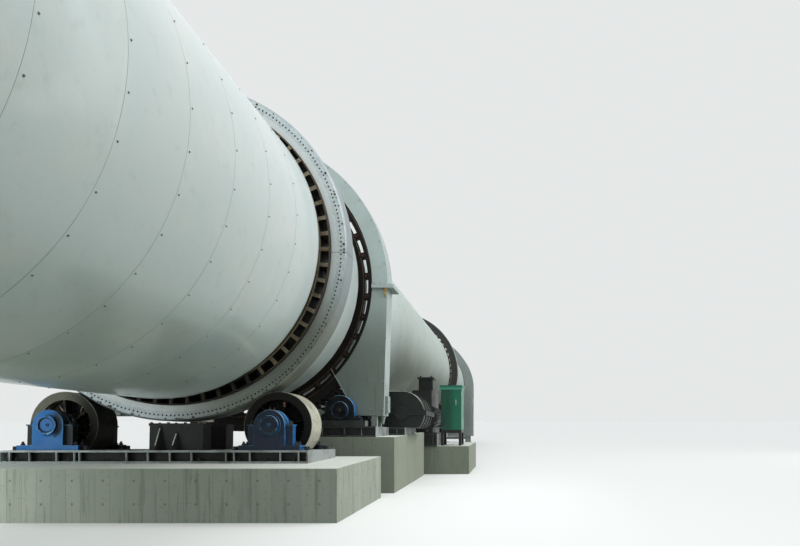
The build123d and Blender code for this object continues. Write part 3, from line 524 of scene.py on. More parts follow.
def oiled(name, colour, roughness, dirt, metallic=0.8, cover=0.4):
    """Bare steel with oil and dust on it."""
    steel = Finish(name, colour, roughness, metallic=metallic)
    steel.blotch(0.18, cover, 0.12, dirt, 0.8)
    steel.blotch(0.03, 0.25, 0.05, dirt, 0.5)
    steel.dull(steel.patches(0.1, 0.5, 0.12), 0.62, 0.7)
    steel.bump(steel.effect("grain", Size=0.006)["Height"], 0.0006, 0.3)
    return steel


def roller_finish():
    """A roller's tread is rolled bright and its rim's side is oily. Painted shade makes the webs, the left
    roller's tread and right half, and the right roller's face and most of its tread near black; the left
    roller's rubbed edges are painted pale as wear and highlight.
    """
    steel = oiled("roller_steel", shade(206, 204, 188), 0.34, shade(150, 144, 120), 0.6, 0.25)
    away = steel.effect("round a shaft", Side=ROLLER_X, Drop=ROLLER_DROP)["Out"]
    x = steel.split(steel.spot())["X"]
    left, right = steel.between(x, -0.3, -0.6), steel.between(x, 0.3, 0.6)
    side, tread = steel.strip(away, 0.10, 0.532, 0.004), steel.between(away, 0.534, 0.538)
    rubbed = steel.effect("rubbed edges", Width=0.010)["Mask"]
    steel.tint(side, shade(84, 86, 75), 0.9)
    # Painted shade from here: the left roller's right half and tread, the right roller's face and the left of
    # its tread, and every web go near black.
    steel.tint(steel.times(left, side, steel.between(x, -1.72, -1.30)), shade(24, 24, 21), 0.85)
    steel.tint(steel.times(left, tread), shade(22, 21, 19), 0.93)
    steel.tint(steel.times(right, side), shade(14, 13, 12), 0.95)
    steel.tint(steel.times(right, tread, steel.between(x, 1.85, 1.70)), shade(20, 19, 18), 0.93)
    steel.tint(steel.strip(away, 0.10, 0.40, 0.008), shade(18, 17, 15), 0.9)
    steel.dull(side, 0.6)
    # Painted highlight and wear: the left roller's rubbed edges between hub and rim are painted pale.
    steel.tint(steel.times(left, steel.strip(away, 0.10, 0.50, 0.01), rubbed), shade(190, 186, 170), 0.8)
    return steel


def gear_finish():
    """The gear and its web are black with oil, and brown where the web's ring plates were welded on."""
    steel = oiled("gear_steel", shade(32, 30, 28), 0.5, shade(52, 40, 30), 0.3, 0.2)
    away = steel.effect("round the drum")["Out"]
    for weld in (2.436, 2.600):
        steel.tint(steel.strip(away, weld - 0.006, weld + 0.006, 0.004), shade(128, 108, 86), 0.75)
    return steel


def pad_finish():
    """The pads shine at their ends. Painted shade makes them near black between the tyre and the shell, and
    at the bottom of the drum.
    """
    steel = oiled("pad_steel", shade(152, 141, 120), 0.5, shade(112, 92, 68), 0.2, 0.3)
    place = steel.effect("round the drum")
    steel.tint(steel.between(place["Out"], 2.470, 2.477), shade(74, 62, 48), 0.9)
    # Painted shade: pads at the bottom of the drum, and their sides between the tyre and the shell, go near
    # black.
    steel.tint(steel.strip(place["Turn"], -0.36, -0.17, 0.03), shade(22, 20, 18), 0.9)
    for tyre_u in TYRES.values():
        steel.tint(steel.strip(place["Along"], tyre_u - 0.255, tyre_u + 0.255), shade(14, 13, 11), 0.95)
    return steel


for make in (tyre_finish, roller_finish, gear_finish, pad_finish):
    keep(make())
keep(oiled("shaft_steel", shade(86, 86, 82), 0.4, shade(44, 40, 36)))
keep(oiled("shell_steel", shade(40, 35, 30), 0.6, shade(66, 50, 36), 0.2, 0.4))
print("finishes so far:", ", ".join(finishes))

# %% [markdown]
# ### Machine paint
# Castings and steelwork are sprayed in oil paint. Grime gathers in patches, dust lies on what
# looks up, and the paint thins to primer and steel along the edges.

# %% Paint finishes
FOOT_TOP = 1.010


def painted(name, colour, roughness=0.42, grime=(60, 58, 52), amount=0.45, edge=(150, 150, 146),
            dust=(150, 146, 134), coat_weight=0.15, worn=0.5):
    """Old oil paint. Grime, edge and dust are colours as they look on a screen."""
    paint = Finish(name, colour, roughness, coat=coat_weight)
    paint.blotch(0.9, 0.4, 0.2, tuple(0.75 * c for c in colour), 0.5)
    paint.blotch(0.14, 0.25, 0.08, shade(*grime), amount)
    paint.tint(paint.runs(0.03, 0.5, 0.3), shade(*grime), amount * 0.7)
    paint.tint(paint.effect("dust", Size=0.25)["Mask"], shade(*dust), 0.35)
    paint.tint(paint.effect("rubbed edges", Width=0.006)["Mask"], shade(*edge), worn)
    paint.dull(paint.patches(0.2, 0.5, 0.15), 0.65, 0.7)
    paint.bump(paint.effect("grain", Size=0.006)["Height"], 0.001, 0.35)
    return paint


def blue_finish():
    """The blocks are bright blue at the front left. Painted shade makes the rest near black: the right
    blocks' fronts, the back blocks, the left blocks' lugs, sides and back, a crescent beside each left cap,
    and the pinion blocks.
    """
    blue = painted("blue_paint", shade(16, 92, 152), 0.34, (16, 44, 90), 0.3, edge=(120, 180, 216),
                   dust=(70, 138, 190), coat_weight=0.12)
    at, face = blue.split(blue.spot()), blue.split(blue.facing())
    along = blue.effect("round the drum")["Along"]
    front, on_left = blue.between(face["Y"], -0.4, -0.8), blue.between(at["X"], 0.3, -0.3)
    above_foot = blue.between(at["Z"], FOOT_TOP, FOOT_TOP + 0.004)
    # Painted shade: the front faces of the right blocks go near black.
    blue.tint(blue.times(blue.between(at["X"], 0.3, 0.8), front), shade(14, 17, 30), 0.93)
    # Painted shade: the back blocks go near black.
    back_block_shade = blue.times(blue.between(along, 0.25, 0.34), blue.between(along, 1.2, 1.0))
    blue.tint(back_block_shade, shade(10, 11, 14), 0.93)
    # Painted shade: the left blocks' side lugs, side faces and all but their front go near black.
    from_shaft = blue.maths("SUBTRACT", blue.maths("ABSOLUTE", at["X"]), ROLLER_X)
    beside_arch = blue.between(blue.maths("ABSOLUTE", from_shaft), 0.236, 0.240)
    lugs = blue.times(beside_arch, above_foot, blue.between(at["Y"], 1.0, 0.9), on_left)
    blue.tint(lugs, shade(14, 15, 18), 0.93)
    side_face_shade = blue.between(blue.maths("ABSOLUTE", face["Y"]), 0.7, 0.5)
    blue.tint(blue.times(side_face_shade, above_foot, on_left), shade(14, 15, 18), 0.9)
    behind = blue.between(along, -0.560, -0.552)
    blue.tint(blue.times(behind, on_left), shade(12, 13, 15), 0.93)
    # Painted shadow: a crescent on the front face right of each left cap goes near black.
    away = blue.effect("round a shaft", Side=ROLLER_X, Drop=ROLLER_DROP)["Out"]
    round_cap = blue.strip(away, 0.152, 0.222, 0.006)
    hollow = blue.times(blue.between(at["X"], -1.62, -1.57), round_cap, on_left, front)
    blue.tint(hollow, shade(6, 7, 10), 0.95)
    # Painted shade: the fronts and feet of the pinion blocks go near black.
    drive_shade = blue.strip(along, 1.2, 3.0, 0.1)
    blue.tint(blue.times(front, drive_shade), shade(7, 8, 12), 0.94)
    blue.tint(blue.times(blue.between(at["Z"], 1.50, 1.46), drive_shade), shade(9, 10, 14), 0.92)
    blue.tint(blue.effect("rubbed edges", Width=0.008)["Mask"], shade(130, 186, 220), 0.6)
    return blue


def guard_finish():
    """The guard is pale, and grime runs down it below the split. Painted shade darkens its lower front, and
    its upper rim and right-facing sides are painted darker against the strong light on them.
    """
    pale = painted("guard_paint", shade(178, 192, 190), 0.42, (120, 126, 114), 0.15, edge=(216, 218, 214),
                   dust=(196, 200, 192))
    height, face = pale.split(pale.spot())["Z"], pale.split(pale.facing())
    # Painted shade: the front goes darker towards the bottom.
    low_front_shade = pale.times(pale.between(height, 4.25, 2.6), pale.between(face["Y"], -0.3, -0.8))
    pale.tint(low_front_shade, shade(96, 104, 94), 0.72)
    # Painted shade: upper faces that don't look forward, and faces that look right, are made darker.
    rim = pale.times(pale.between(face["Y"], -0.8, -0.5), pale.between(height, 3.0, 3.3))
    pale.tint(rim, shade(140, 152, 150), 0.6)
    pale.tint(pale.between(face["X"], 0.5, 0.8), shade(150, 163, 162), 0.35)
    low_runs = pale.times(pale.between(height, 3.2, 2.0), pale.runs(0.05, 0.8, 0.4))
    pale.tint(low_runs, shade(110, 104, 84), 0.5)
    return pale


def cabinet_finish():
    """The cabinet's green, with its wide door darker from oily hands."""
    green = painted("green_paint", shade(36, 116, 92), 0.35, (40, 60, 48), 0.2, edge=(120, 190, 166),
                    dust=(70, 140, 116))
    at = green.split(green.spot())
    handled = green.times(green.between(at["X"], 3.90, 3.70), green.between(at["Z"], 2.19, 2.17))
    green.tint(handled, shade(30, 44, 36), 0.6)
    return green


for make in (blue_finish, guard_finish, cabinet_finish):
    keep(make())
keep(painted("black_paint", shade(18, 19, 19), 0.55, (34, 32, 28), edge=(120, 124, 118),
             dust=(40, 39, 36), worn=0.3))
keep(painted("dark_grey_paint", shade(24, 25, 25), 0.5, (34, 33, 30), edge=(84, 88, 84), dust=(48, 48, 45)))
keep(painted("dark_green_paint", shade(12, 23, 18), 0.38, (24, 26, 22), 0.3, edge=(60, 84, 70),
             dust=(32, 46, 38)))
keep(painted("hood_paint", shade(168, 178, 176), 0.45, (110, 104, 88), 0.4, edge=(222, 224, 220),
             dust=(186, 186, 174)))
print("finishes so far:", len(finishes))

# %% [markdown]
# ### Galvanised frames
# Zinc grows in crystals, which show as a spangle. The hollow between a beam's flanges is painted
# black as shade, short of its lit ends, and the front faces of the drive's frames are painted dark as shade.

# %% Galvanised finish
FRAME_RAILS = {"near_base_frame": (-0.709, 0.491), "far_base_frame": (17.681, 18.880)}


def galvanised_finish():
    zinc = Finish("galvanised_steel", shade(168, 175, 174), 0.45, metallic=0.35)
    place, face = zinc.split(zinc.spot()), zinc.split(zinc.facing())
    spangle = zinc.node("ShaderNodeTexVoronoi")
    zinc.feed(60.0, spangle.inputs["Scale"])
    zinc.feed(zinc.spot(), spangle.inputs["Vector"])
    zinc.tint(zinc.between(spangle.outputs["Distance"], 0.2, 0.8), shade(132, 140, 142), 0.6)
    zinc.blotch(0.3, 0.35, 0.12, shade(104, 104, 94), 0.7)
    zinc.tint(zinc.runs(0.02, 0.3, 0.25), shade(96, 82, 62), 0.5)
    # Painted shade: the web between the flanges goes black, short of the lit ends.
    upright = zinc.between(zinc.maths("ABSOLUTE", face["Z"]), 0.6, 0.4)
    short_of_ends = zinc.between(zinc.maths("ABSOLUTE", place["X"]), 2.28, 2.26)
    for rails in FRAME_RAILS.values():
        for rail in rails:
            web_shade = zinc.strip(place["Y"], rail - 0.062, rail + 0.062, 0.006)
            zinc.tint(zinc.times(web_shade, upright, short_of_ends), shade(16, 16, 14), 0.95)
    # Painted shade: the front faces of the drive's frames go dark.
    drive_shade = zinc.strip(place["Y"], 1.2, 7.4, 0.1)
    zinc.tint(zinc.times(drive_shade, zinc.between(face["Y"], -0.4, -0.8)), shade(20, 20, 18), 0.85)
    zinc.dull(zinc.patches(0.2, 0.5, 0.12), 0.65, 0.7)
    zinc.bump(zinc.effect("grain", Size=0.01)["Height"], 0.0008, 0.3)
    return zinc


keep(galvanised_finish())
print("galvanised nodes:", len(finishes["galvanised_steel"].node_tree.nodes))

# %% [markdown]
# ### Shuttered concrete
# The piers were cast against upright boards, so they show board joints, pour marks, tie
# holes and pores, and water has run down them. Their tops are painted lighter, as light falls
# on them, and the piers further along are painted darker, as shade.


# %% Concrete finish
BOARD = 0.2
TIE_PITCH = {"X": 0.42, "Y": 0.32}
TIE_MIDDLE = {"X": 0.5, "Y": 0.8}


def concrete_finish():
    cast = Finish("concrete", shade(168, 174, 163), 0.85)
    place = cast.split(cast.spot())
    across = cast.maths("ADD", place["X"], place["Y"])
    boards = cast.maths("DIVIDE", across, BOARD)
    joint = cast.between(cast.maths("FRACT", boards), 0.06, 0.0)
    plank = cast.node("ShaderNodeTexWhiteNoise", noise_dimensions="1D")
    cast.feed(cast.maths("FLOOR", boards), plank.inputs["W"])
    cast.tint(plank.outputs["Value"], shade(146, 154, 144), 0.5)
    cast.blotch(0.8, 0.45, 0.15, shade(150, 158, 146), 0.6)
    cast.tint(cast.runs(0.06, 0.9, 0.45), shade(120, 128, 112), 0.5)
    cast.blotch(0.06, 0.2, 0.05, shade(124, 128, 118), 0.4)
    cast.tint(joint, shade(112, 118, 106), 0.45)
    cast.tint(cast.effect("rubbed edges", Width=0.02, Size=0.15)["Mask"], shade(196, 198, 188), 0.5)
    # Painted shade: the piers further along the drum are made darker.
    cast.tint(cast.between(place["Y"], 0.8, 1.4), shade(130, 135, 120), 0.55)
    # Painted light: faces that look up are made much lighter.
    cast.tint(cast.between(cast.split(cast.facing())["Z"], 0.5, 0.95), shade(212, 216, 209), 0.78)
    steps = cast.node("ShaderNodeCombineXYZ")
    for axis, source in (("X", across), ("Y", place["Z"])):
        cell = cast.maths("FRACT", cast.maths("DIVIDE", source, TIE_PITCH[axis]))
        from_middle = cast.maths("SUBTRACT", cell, TIE_MIDDLE[axis])
        cast.feed(cast.times(from_middle, TIE_PITCH[axis]), steps.inputs[axis])
    reach = cast.node("ShaderNodeVectorMath", operation="LENGTH")
    cast.feed(steps.outputs[0], reach.inputs[0])
    tie_hole = cast.between(reach.outputs["Value"], 0.020, 0.014)
    cast.tint(tie_hole, shade(104, 108, 98), 0.6)
    cast.bump(tie_hole, -0.006, 0.6)
    pores = cast.times(cast.patches(0.018, 0.02, 0.03), cast.patches(0.5, 0.5, 0.1))
    cast.tint(pores, shade(84, 88, 78), 0.7)
    cast.bump(cast.effect("grain", Size=0.02)["Height"], 0.003, 0.5)
    cast.bump(joint, 0.004, 0.4)
    return cast


keep(concrete_finish())
print("boards to a metre:", round(1 / BOARD))

# %% [markdown]
# ### Dressing the solids
# The record says which finish each solid takes, so one loop paints them all.

# %% Paint the solids
for part in frame["record"]["subparts"]:
    solid = frame["nodes"][part["node"]]
    solid.data.materials.clear()
    solid.data.materials.append(finishes[part["material_slot"]])
print("finishes:", len(finishes), "solids:", len(frame["nodes"]))

# %% [markdown]
# ## Small parts
# Hundreds of bolts are copies of a few shapes. Each shape is worked out once round its own
# centre line, with its foot at height 0, from a profile that is spun or from a plate with its
# edges eased.


# %% Shapes of small parts
def woven(rows, columns, closed):
    """Faces between rows of points, each row a ring. Closed joins the last row to the first."""
    faces = []
    for row in range(rows if closed else rows - 1):
        a, b = row * columns, ((row + 1) % rows) * columns
        for k in range(columns):
            n = (k + 1) % columns
            faces.append((a + k, a + n, b + n, b + k))
    return faces


def turned(profile, sides=16, hollow=False):
    """A shape spun round its Z from (radius, height) pairs. A hollow one joins its last pair to its first."""
    angles = [2 * math.pi * k / sides for k in range(sides)]
    points = [(r * math.cos(a), r * math.sin(a), height) for r, height in profile for a in angles]
    faces, count = woven(len(profile), sides, hollow), len(profile)
    if not hollow:
        faces.append(tuple(range(sides - 1, -1, -1)))
        faces.append(tuple(range((count - 1) * sides, count * sides)))
    return points, faces


def slab(width, depth, height, chamfer=0.003):
    """A plate standing on its Z = 0 face, with all its edges eased."""
    solid = bmesh.new()
    bmesh.ops.create_cube(solid, size=1.0)
    bmesh.ops.scale(solid, vec=(width, depth, height), verts=solid.verts)
    bmesh.ops.translate(solid, vec=(0, 0, height / 2), verts=solid.verts)
    bmesh.ops.bevel(solid, geom=list(solid.edges), offset=chamfer, segments=1, affect="EDGES")
    shape = [tuple(v.co) for v in solid.verts], [tuple(v.index for v in f.verts) for f in solid.faces]
    solid.free()
    return shape


def joined(*shapes):
    points, faces = [], []
    for shape in shapes:
        start = len(points)
        points += list(shape[0])
        faces += [tuple(start + i for i in face) for face in shape[1]]
    return points, faces


def moved(shape, y, z):
    return [(p[0], p[1] + y, p[2] + z) for p in shape[0]], shape[1]


def washer(thread):
    return turned([(1.05 * thread, 0), (1.05 * thread, 0.12 * thread), (0.9 * thread, 0.15 * thread)], 16)


def bolt(thread):
    """A hex head on a washer, for a thread of this diameter in metres."""
    head, high, foot = 0.87 * thread, 0.65 * thread, 0.12 * thread
    hexagon = turned([(head, foot), (head, foot + 0.85 * high), (0.84 * head, foot + high)], 6)
    return joined(washer(thread), hexagon)


def stud(thread, stick_out=0.8):
    """A nut on a washer, with the thread's end standing out of it."""
    foot, half = 0.12 * thread, 0.87 * thread
    top = foot + 0.8 * thread
    nut = turned([(0.84 * half, foot), (half, 0.2 * thread), (half, top - 0.08 * thread),
                  (0.84 * half, top)], 6)
    end = turned([(0.5 * thread, top - 0.01), (0.5 * thread, top + (stick_out - 0.1) * thread),
                  (0.4 * thread, top + stick_out * thread)], 10)
    return joined(washer(thread), nut, end)


def ring(radius, wire, height, steps=20, sides=8):
    """A ring of round wire, standing on edge with its middle at this height."""
    points = []
    for k in range(steps):
        b = 2 * math.pi * k / steps
        for j in range(sides):
            c = 2 * math.pi * j / sides
            r = radius + wire * math.cos(c)
            points.append((r * math.cos(b), wire * math.sin(c), height + r * math.sin(b)))
    return points, woven(steps, sides, True)


print("a 30 mm bolt has", len(bolt(0.03)[1]), "faces")

# %% [markdown]
# ### Where they sit
# Each small part stands on the solid that carries it: a ray is sent towards the solid, and the
# bolt sits where the ray lands, so none floats and none sinks in. All parts of a kind are
# gathered in one pile, which becomes one piece.

# %% Piles and places
from mathutils.bvhtree import BVHTree


def standing(position, normal, along=None):
    """Puts a small part's Z along normal and its X near along."""
    z = Vector(normal).normalized()
    x = Vector(along) if along is not None else (ALONG if abs(z.dot(ALONG)) < 0.9 else ACROSS)
    x = (x - z * x.dot(z)).normalized()
    return Matrix.Translation(position) @ Matrix((x, z.cross(x), z)).transposed().to_4x4()


class Pile:
    """Gathers many small solids into one piece."""

    def __init__(self):
        self.points, self.faces, self.count, self.missed = [], [], 0, 0

    def put(self, shape, place=None):
        start = len(self.points)
        self.points += [tuple(place @ Vector(p)) if place is not None else tuple(p) for p in shape[0]]
        self.faces += [tuple(start + i for i in face) for face in shape[1]]
        self.count += 1

    def show(self, name, body, slot, finish, round_off=38):
        mesh = bpy.data.meshes.new(name)
        mesh.from_pydata(self.points, [], self.faces)
        mesh.update()
        mesh.shade_smooth()
        mesh.set_sharp_from_angle(angle=math.radians(round_off))
        mesh.materials.append(finishes[finish])
        piece = bpy.data.objects.new(name, mesh)
        bpy.context.scene.collection.objects.link(piece)
        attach(piece, body)
        print(f"{name}: {self.count} parts, {len(self.faces)} faces, {self.missed} missed")
        return piece


solid_trees = {}


def seat(node, start, towards, reach=4.0):
    """Where a ray from start lands on a solid, or None."""
    if node not in solid_trees:
        mesh = frame["nodes"][node].data
        corners, faces = [v.co for v in mesh.vertices], [p.vertices for p in mesh.polygons]
        solid_trees[node] = BVHTree.FromPolygons(corners, faces)
    return solid_trees[node].ray_cast(Vector(start), Vector(towards).normalized(), reach)[0]


def face_along(node, start, towards):
    """How far along the drum the ray lands."""
    return (seat(node, start, towards) - station(0)).dot(ALONG)


def fasten(pile, node, start, towards, shape, along=None, up=None, aside=Vector()):
    """Stands a shape where the ray lands, moved aside, along up or else back along the ray."""
    hit = seat(node, start, towards)
    if hit is None:
        pile.missed += 1
        return
    pile.put(shape, standing(hit + aside, -Vector(towards) if up is None else up, along))


def on_top(pile, node, u, x, drop, shape, along=None):
    """A shape under this point of the machine, on what looks up."""
    fasten(pile, node, station(u, x, drop), -SQUARE_UP, shape, along)


def on_end(pile, node, end, u, x, drop, shape, along=None):
    """A shape on a face that looks back along the drum (end -1) or on along it (end 1)."""
    fasten(pile, node, station(u, x, drop), -ALONG * end, shape, along)


def on_side(pile, node, hand, u, x, drop, shape, along=None):
    """A shape on a face that looks left (hand -1) or right (hand 1)."""
    fasten(pile, node, station(u, hand * x, drop), -ACROSS * hand, shape, along)


def circle(x, drop, radius, count, first=0.0):
    """Even places (x, drop) round a centre, the first one this many degrees on from its right."""
    angles = [math.radians(first + 360 * k / count) for k in range(count)]
    return [(x + radius * math.cos(a), drop + radius * math.sin(a)) for a in angles]


print("a ray down on the near tyre lands at", [round(v, 2) for v in seat("near_tyre", (0, 0, 8), -UP)])

# %% [markdown]
# ## Cladding
# The insulation is wrapped in sheets about 0.93 m wide. Each sheet laps over the next one
# with its edge a millimetre or two proud, and is held by a ring of 36 screws just past the
# lap. The sheets are spun round the drum's own sloping axis, so that the laps stand square to
# it. Raising OUT_OF_ROUND would give badly rolled sheet; here it is rolled true.

# %% Cladding sheets
chance = random.Random(7)
SHEET, FIRST_SHEET, SHORTEST = 0.93, 0.99, 0.3
CLAD_R, UNDER_R = 2.42, 2.335
OUT_OF_ROUND = 0.0
CLAD_SPANS = ((-6.8, -0.58, "end"), (0.58, 1.8, "start"), (2.47, 17.82, "start"), (18.98, 25.2, "start"))


def sheet_edges(start, end, count_from):
    """Where the sheets of one span lap, from the end that the sheets were set out from."""
    backwards, edges = count_from == "end", []
    at_u = end - FIRST_SHEET if backwards else start + SHEET
    while start + SHORTEST < at_u < end - SHORTEST:
        edges.append(at_u)
        at_u += -SHEET if backwards else SHEET
    return [start, *sorted(edges), end]


def drum_skin(pile, profile, sides=160):
    """Spins (u, radius) pairs round the drum's axis as an open skin."""
    points, faces = [], []
    for u, radius in profile:
        lean = chance.uniform(0, 2 * math.pi)
        for k in range(sides):
            degrees = 360 * k / sides
            bulge = OUT_OF_ROUND * math.sin(3 * math.radians(degrees) + lean)
            points.append(on_drum(u, radius + bulge, degrees))
    for row in range(len(profile) - 1):
        for k in range(sides):
            n = (k + 1) % sides
            faces.append((row * sides + k, (row + 1) * sides + k, (row + 1) * sides + n, row * sides + n))
    pile.put((points, faces))


cladding, laps = Pile(), []
for start, end, count_from in CLAD_SPANS:
    edges = sheet_edges(start, end, count_from)
    drum_skin(cladding, [(start, UNDER_R), (start, CLAD_R - 0.006), (start + 0.002, CLAD_R - 0.002),
                         (start + 0.006, CLAD_R)])
    for low, high in zip(edges, edges[1:]):
        profile = [(low + 0.006, CLAD_R) if low == start else (low, CLAD_R - 0.0015)]
        profile += [(low + 0.05, CLAD_R - 0.0005), (low + 0.3, CLAD_R + 0.0005),
                    ((low + high) / 2, CLAD_R), (high - 0.06, CLAD_R)]
        if high == end:
            profile += [(high - 0.006, CLAD_R), (high - 0.002, CLAD_R - 0.002),
                        (high, CLAD_R - 0.006), (high, UNDER_R)]
        else:
            profile += [(high - 0.012, CLAD_R + 0.001), (high - 0.002, CLAD_R + 0.0015),
                        (high, CLAD_R + 0.0005), (high, CLAD_R - 0.006)]
            laps.append(high)
        drum_skin(cladding, profile)
skin = cladding.show("cladding_sheets", "drum", "cladding_sheet", "cladding_sheet", 30)
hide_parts("cladding")
print("laps at", [round(u, 2) for u in laps[:7]])

# %% [markdown]
# ### Seams and screws
# A dark sealing strip shows as a fine line at every lap. Screws with bonded washers follow
# it. They are set by eye along a string, so each stands a little off its even place.

# %% Sealing strips and screws
keep(oiled("seam_strip", shade(142, 152, 150), 0.7, shade(166, 172, 168), 0.0, 0.3))
keep(oiled("screw_zinc", shade(122, 130, 128), 0.5, shade(90, 84, 72), 0.3))
seams, screws = Pile(), Pile()
for u in laps:
    drum_skin(seams, [(u - 0.001, CLAD_R), (u - 0.0005, CLAD_R + 0.0016), (u + 0.0032, CLAD_R + 0.0016),
                      (u + 0.0036, CLAD_R - 0.003)])
screw = joined(turned([(0.0105, 0), (0.0105, 0.0015), (0.009, 0.0025)], 12),
               turned([(0.007, 0.002), (0.007, 0.007), (0.0055, 0.0085)], 6))
for u in laps:
    phase = 2.8 + chance.uniform(-0.7, 0.7)
    for k in range(36):
        degrees = phase + 10 * k + chance.uniform(-0.35, 0.35)
        place = on_drum(u + 0.044 + chance.uniform(-0.004, 0.004), CLAD_R - 0.001, degrees)
        screws.put(screw, standing(place, outward(degrees)))
seams.show("cladding_seams", "drum", "cladding_sheet", "seam_strip")
screws.show("cladding_screws", "drum", "shaft_steel", "screw_zinc")

# %% [markdown]
# ## Riding tyres
# Each face of a tyre carries a ring of about 250 drilled and plugged holes near its rim, and
# grease is pushed out in lumps where the tread meets the face. The plugs stand a millimetre
# proud so that they read without cutting the solid. The thrust roller presses the grease flat
# on the face that leans on it.

# %% Tyre plugs and grease
TYRE_HALF = 0.2
PLUGS, PLUG_R, LUMPS = 250, 2.656, 130
keep(oiled("old_grease", shade(58, 54, 42), 0.35, shade(96, 92, 76), 0.0))
plugs, grease = Pile(), Pile()
plug = turned([(0.0145, 0), (0.0145, 0.0008), (0.012, 0.0015)], 10)
for tyre, tyre_u in TYRES.items():
    for side in (-1, 1):
        face_u = tyre_u + side * TYRE_HALF
        for k in range(PLUGS):
            degrees = 360 * k / PLUGS + chance.uniform(-0.08, 0.08)
            place = on_drum(face_u, PLUG_R + chance.uniform(-0.003, 0.003), degrees)
            plugs.put(plug, standing(place, ALONG * side, outward(degrees)))
        pressed = 0.25 if (tyre, side) == ("near", 1) else 1.0
        for k in range(LUMPS):
            degrees = chance.uniform(0, 360)
            size = chance.uniform(0.008, 0.022)
            tall = size * pressed
            lump = turned([(size, -0.004), (0.95 * size, 0.35 * tall), (0.55 * size, 0.7 * tall),
                           (0.2 * size, 0.8 * tall)], 8)
            grease.put(lump, standing(on_drum(face_u, 2.722 - size, degrees), ALONG * side, outward(degrees)))
plugs.show("tyre_plugs", "drum", "gear_steel", "gear_steel")
grease.show("tyre_grease", "drum", "gear_steel", "old_grease")

# %% [markdown]
# ## Tyre pads
# Sixty pads carry each tyre. Their long edges are worn bright, and each is locked to the shell
# by a stop block and two bolts at either end. Those at the bottom, where shade falls, get no bright edges.

# %% Pad edges and stops
PADS = 60
keep(oiled("worn_pad", shade(168, 160, 140), 0.4, shade(118, 98, 74), 0.4, 0.25))
pad_edges, pad_bolts = Pile(), Pile()
worn_edge = slab(0.118, 0.009, 0.006, 0.0015)
for tyre, tyre_u in TYRES.items():
    for side in (-1, 1):
        for k in range(PADS):
            degrees = 360 * k / PADS
            for edge in (-1, 1):
                foot = on_drum(tyre_u + side * 0.26, 2.418, degrees) + outward(degrees + 90) * edge * 0.0245
                # Painted shade: no bright edges at the bottom of the drum.
                if not 228 < degrees < 312:
                    pad_edges.put(worn_edge, standing(foot, ALONG * side, outward(degrees)))
            for radius in (2.385, 2.45):
                start = on_drum(tyre_u + side * 0.4, radius, degrees)
                fasten(pad_bolts, tyre + "_tyre_pads", start, -ALONG * side, bolt(0.014))
pad_edges.show("pad_edges", "drum", "pad_steel", "worn_pad")
pad_bolts.show("pad_bolts", "drum", "pad_steel", "pad_steel")

# %% [markdown]
# ## Bearing blocks
# Each roller runs in two split blocks, BLOCK_U from the middle of its tyre. Nuts hold them to
# the frame at the corners of the foot, nuts on the side lugs close the split, and a ring of
# screws holds the end cap, which has a raised bead round it.

# %% Roller block fittings
keep(oiled("bright_bolt", shade(150, 160, 164), 0.35, shade(84, 82, 70), 0.6, 0.3))
keep(oiled("dark_bolt", shade(46, 46, 44), 0.5, shade(70, 66, 58), 0.4, 0.3))
block_nuts, cap_screws, cap_beads = Pile(), Pile(), Pile()
bead = turned([(0.157, -0.002), (0.157, 0.006), (0.161, 0.011), (0.167, 0.013),
               (0.173, 0.011), (0.177, 0.006), (0.177, -0.002)], 48, True)
cap_boss = turned([(0.034, -0.002), (0.034, 0.008), (0.030, 0.012), (0.016, 0.012),
                   (0.016, 0.024), (0.012, 0.027)], 20)
BLOCK_U = 0.48
BLOCKS = [(tyre, tyre_u + end * BLOCK_U, end, x)
          for tyre, tyre_u in TYRES.items() for x in (-ROLLER_X, ROLLER_X) for end in (-1, 1)]


def ring_on_cap(pile, node, end, start_u, x, up, shape):
    """A ring round the shaft, on the face that a ray meets this far above the shaft."""
    face_u = face_along(node, station(start_u, x, ROLLER_DROP - up), -ALONG * end)
    pile.put(shape, standing(station(face_u, x, ROLLER_DROP), ALONG * end))


for tyre, middle, end, x in BLOCKS:
    node, start_u = tyre + "_bearing_housings", middle + end * 0.4
    for foot_x in (-0.405, 0.405):
        for offset in (-0.065, 0.065):
            on_top(block_nuts, node, middle + offset, x + foot_x, 2.95, stud(0.034))
    for lug_x in (-0.293, 0.293):
        for offset in (-0.035, 0.035):
            on_top(block_nuts, node, middle + offset, x + lug_x, 2.6, stud(0.026, 1.3))
    for spot in circle(x, ROLLER_DROP, 0.135, 6, 30):
        on_end(cap_screws, node, end, start_u, *spot, bolt(0.014))
    on_end(cap_screws, node, end, start_u, x, ROLLER_DROP, cap_boss)
    ring_on_cap(cap_beads, node, end, start_u, x, 0.19, bead)
block_nuts.show("block_nuts", "plant", "galvanised_steel", "dark_bolt")
cap_screws.show("cap_screws", "plant", "blue_paint", "blue_paint")
cap_beads.show("cap_beads", "plant", "blue_paint", "blue_paint")

# %% [markdown]
# ### Highlights painted on the arches
# Pale arcs along the rounded edges of the blocks and caps are painted highlights. Each is a
# thin bead that tapers to nothing at its ends.

# %% Painted highlights on the arches
PINION_X, DRIVE_DROP = 2.0826, 2.482
PINION_ARCH, PINION_FACE = 0.285, 1.790
keep(oiled("highlight_blue", shade(170, 206, 228), 0.35, shade(84, 140, 190), 0.0, 0.35))


def arc_bead(x, drop, radius, u, first=-8, last=112, thick=0.0035, steps=28, sides=6):
    """A round bead along the edge of an arch, from one angle to another."""
    points = []
    for k in range(steps + 1):
        a = math.radians(first + (last - first) * k / steps)
        narrow = thick * (0.4 + 0.6 * math.sin(math.pi * k / steps))
        for j in range(sides):
            c = 2 * math.pi * j / sides
            out, along = radius + narrow * math.cos(c), narrow * math.sin(c)
            points.append(station(u + along, x + out * math.cos(a), drop - out * math.sin(a)))
    return points, woven(steps + 1, sides, False)


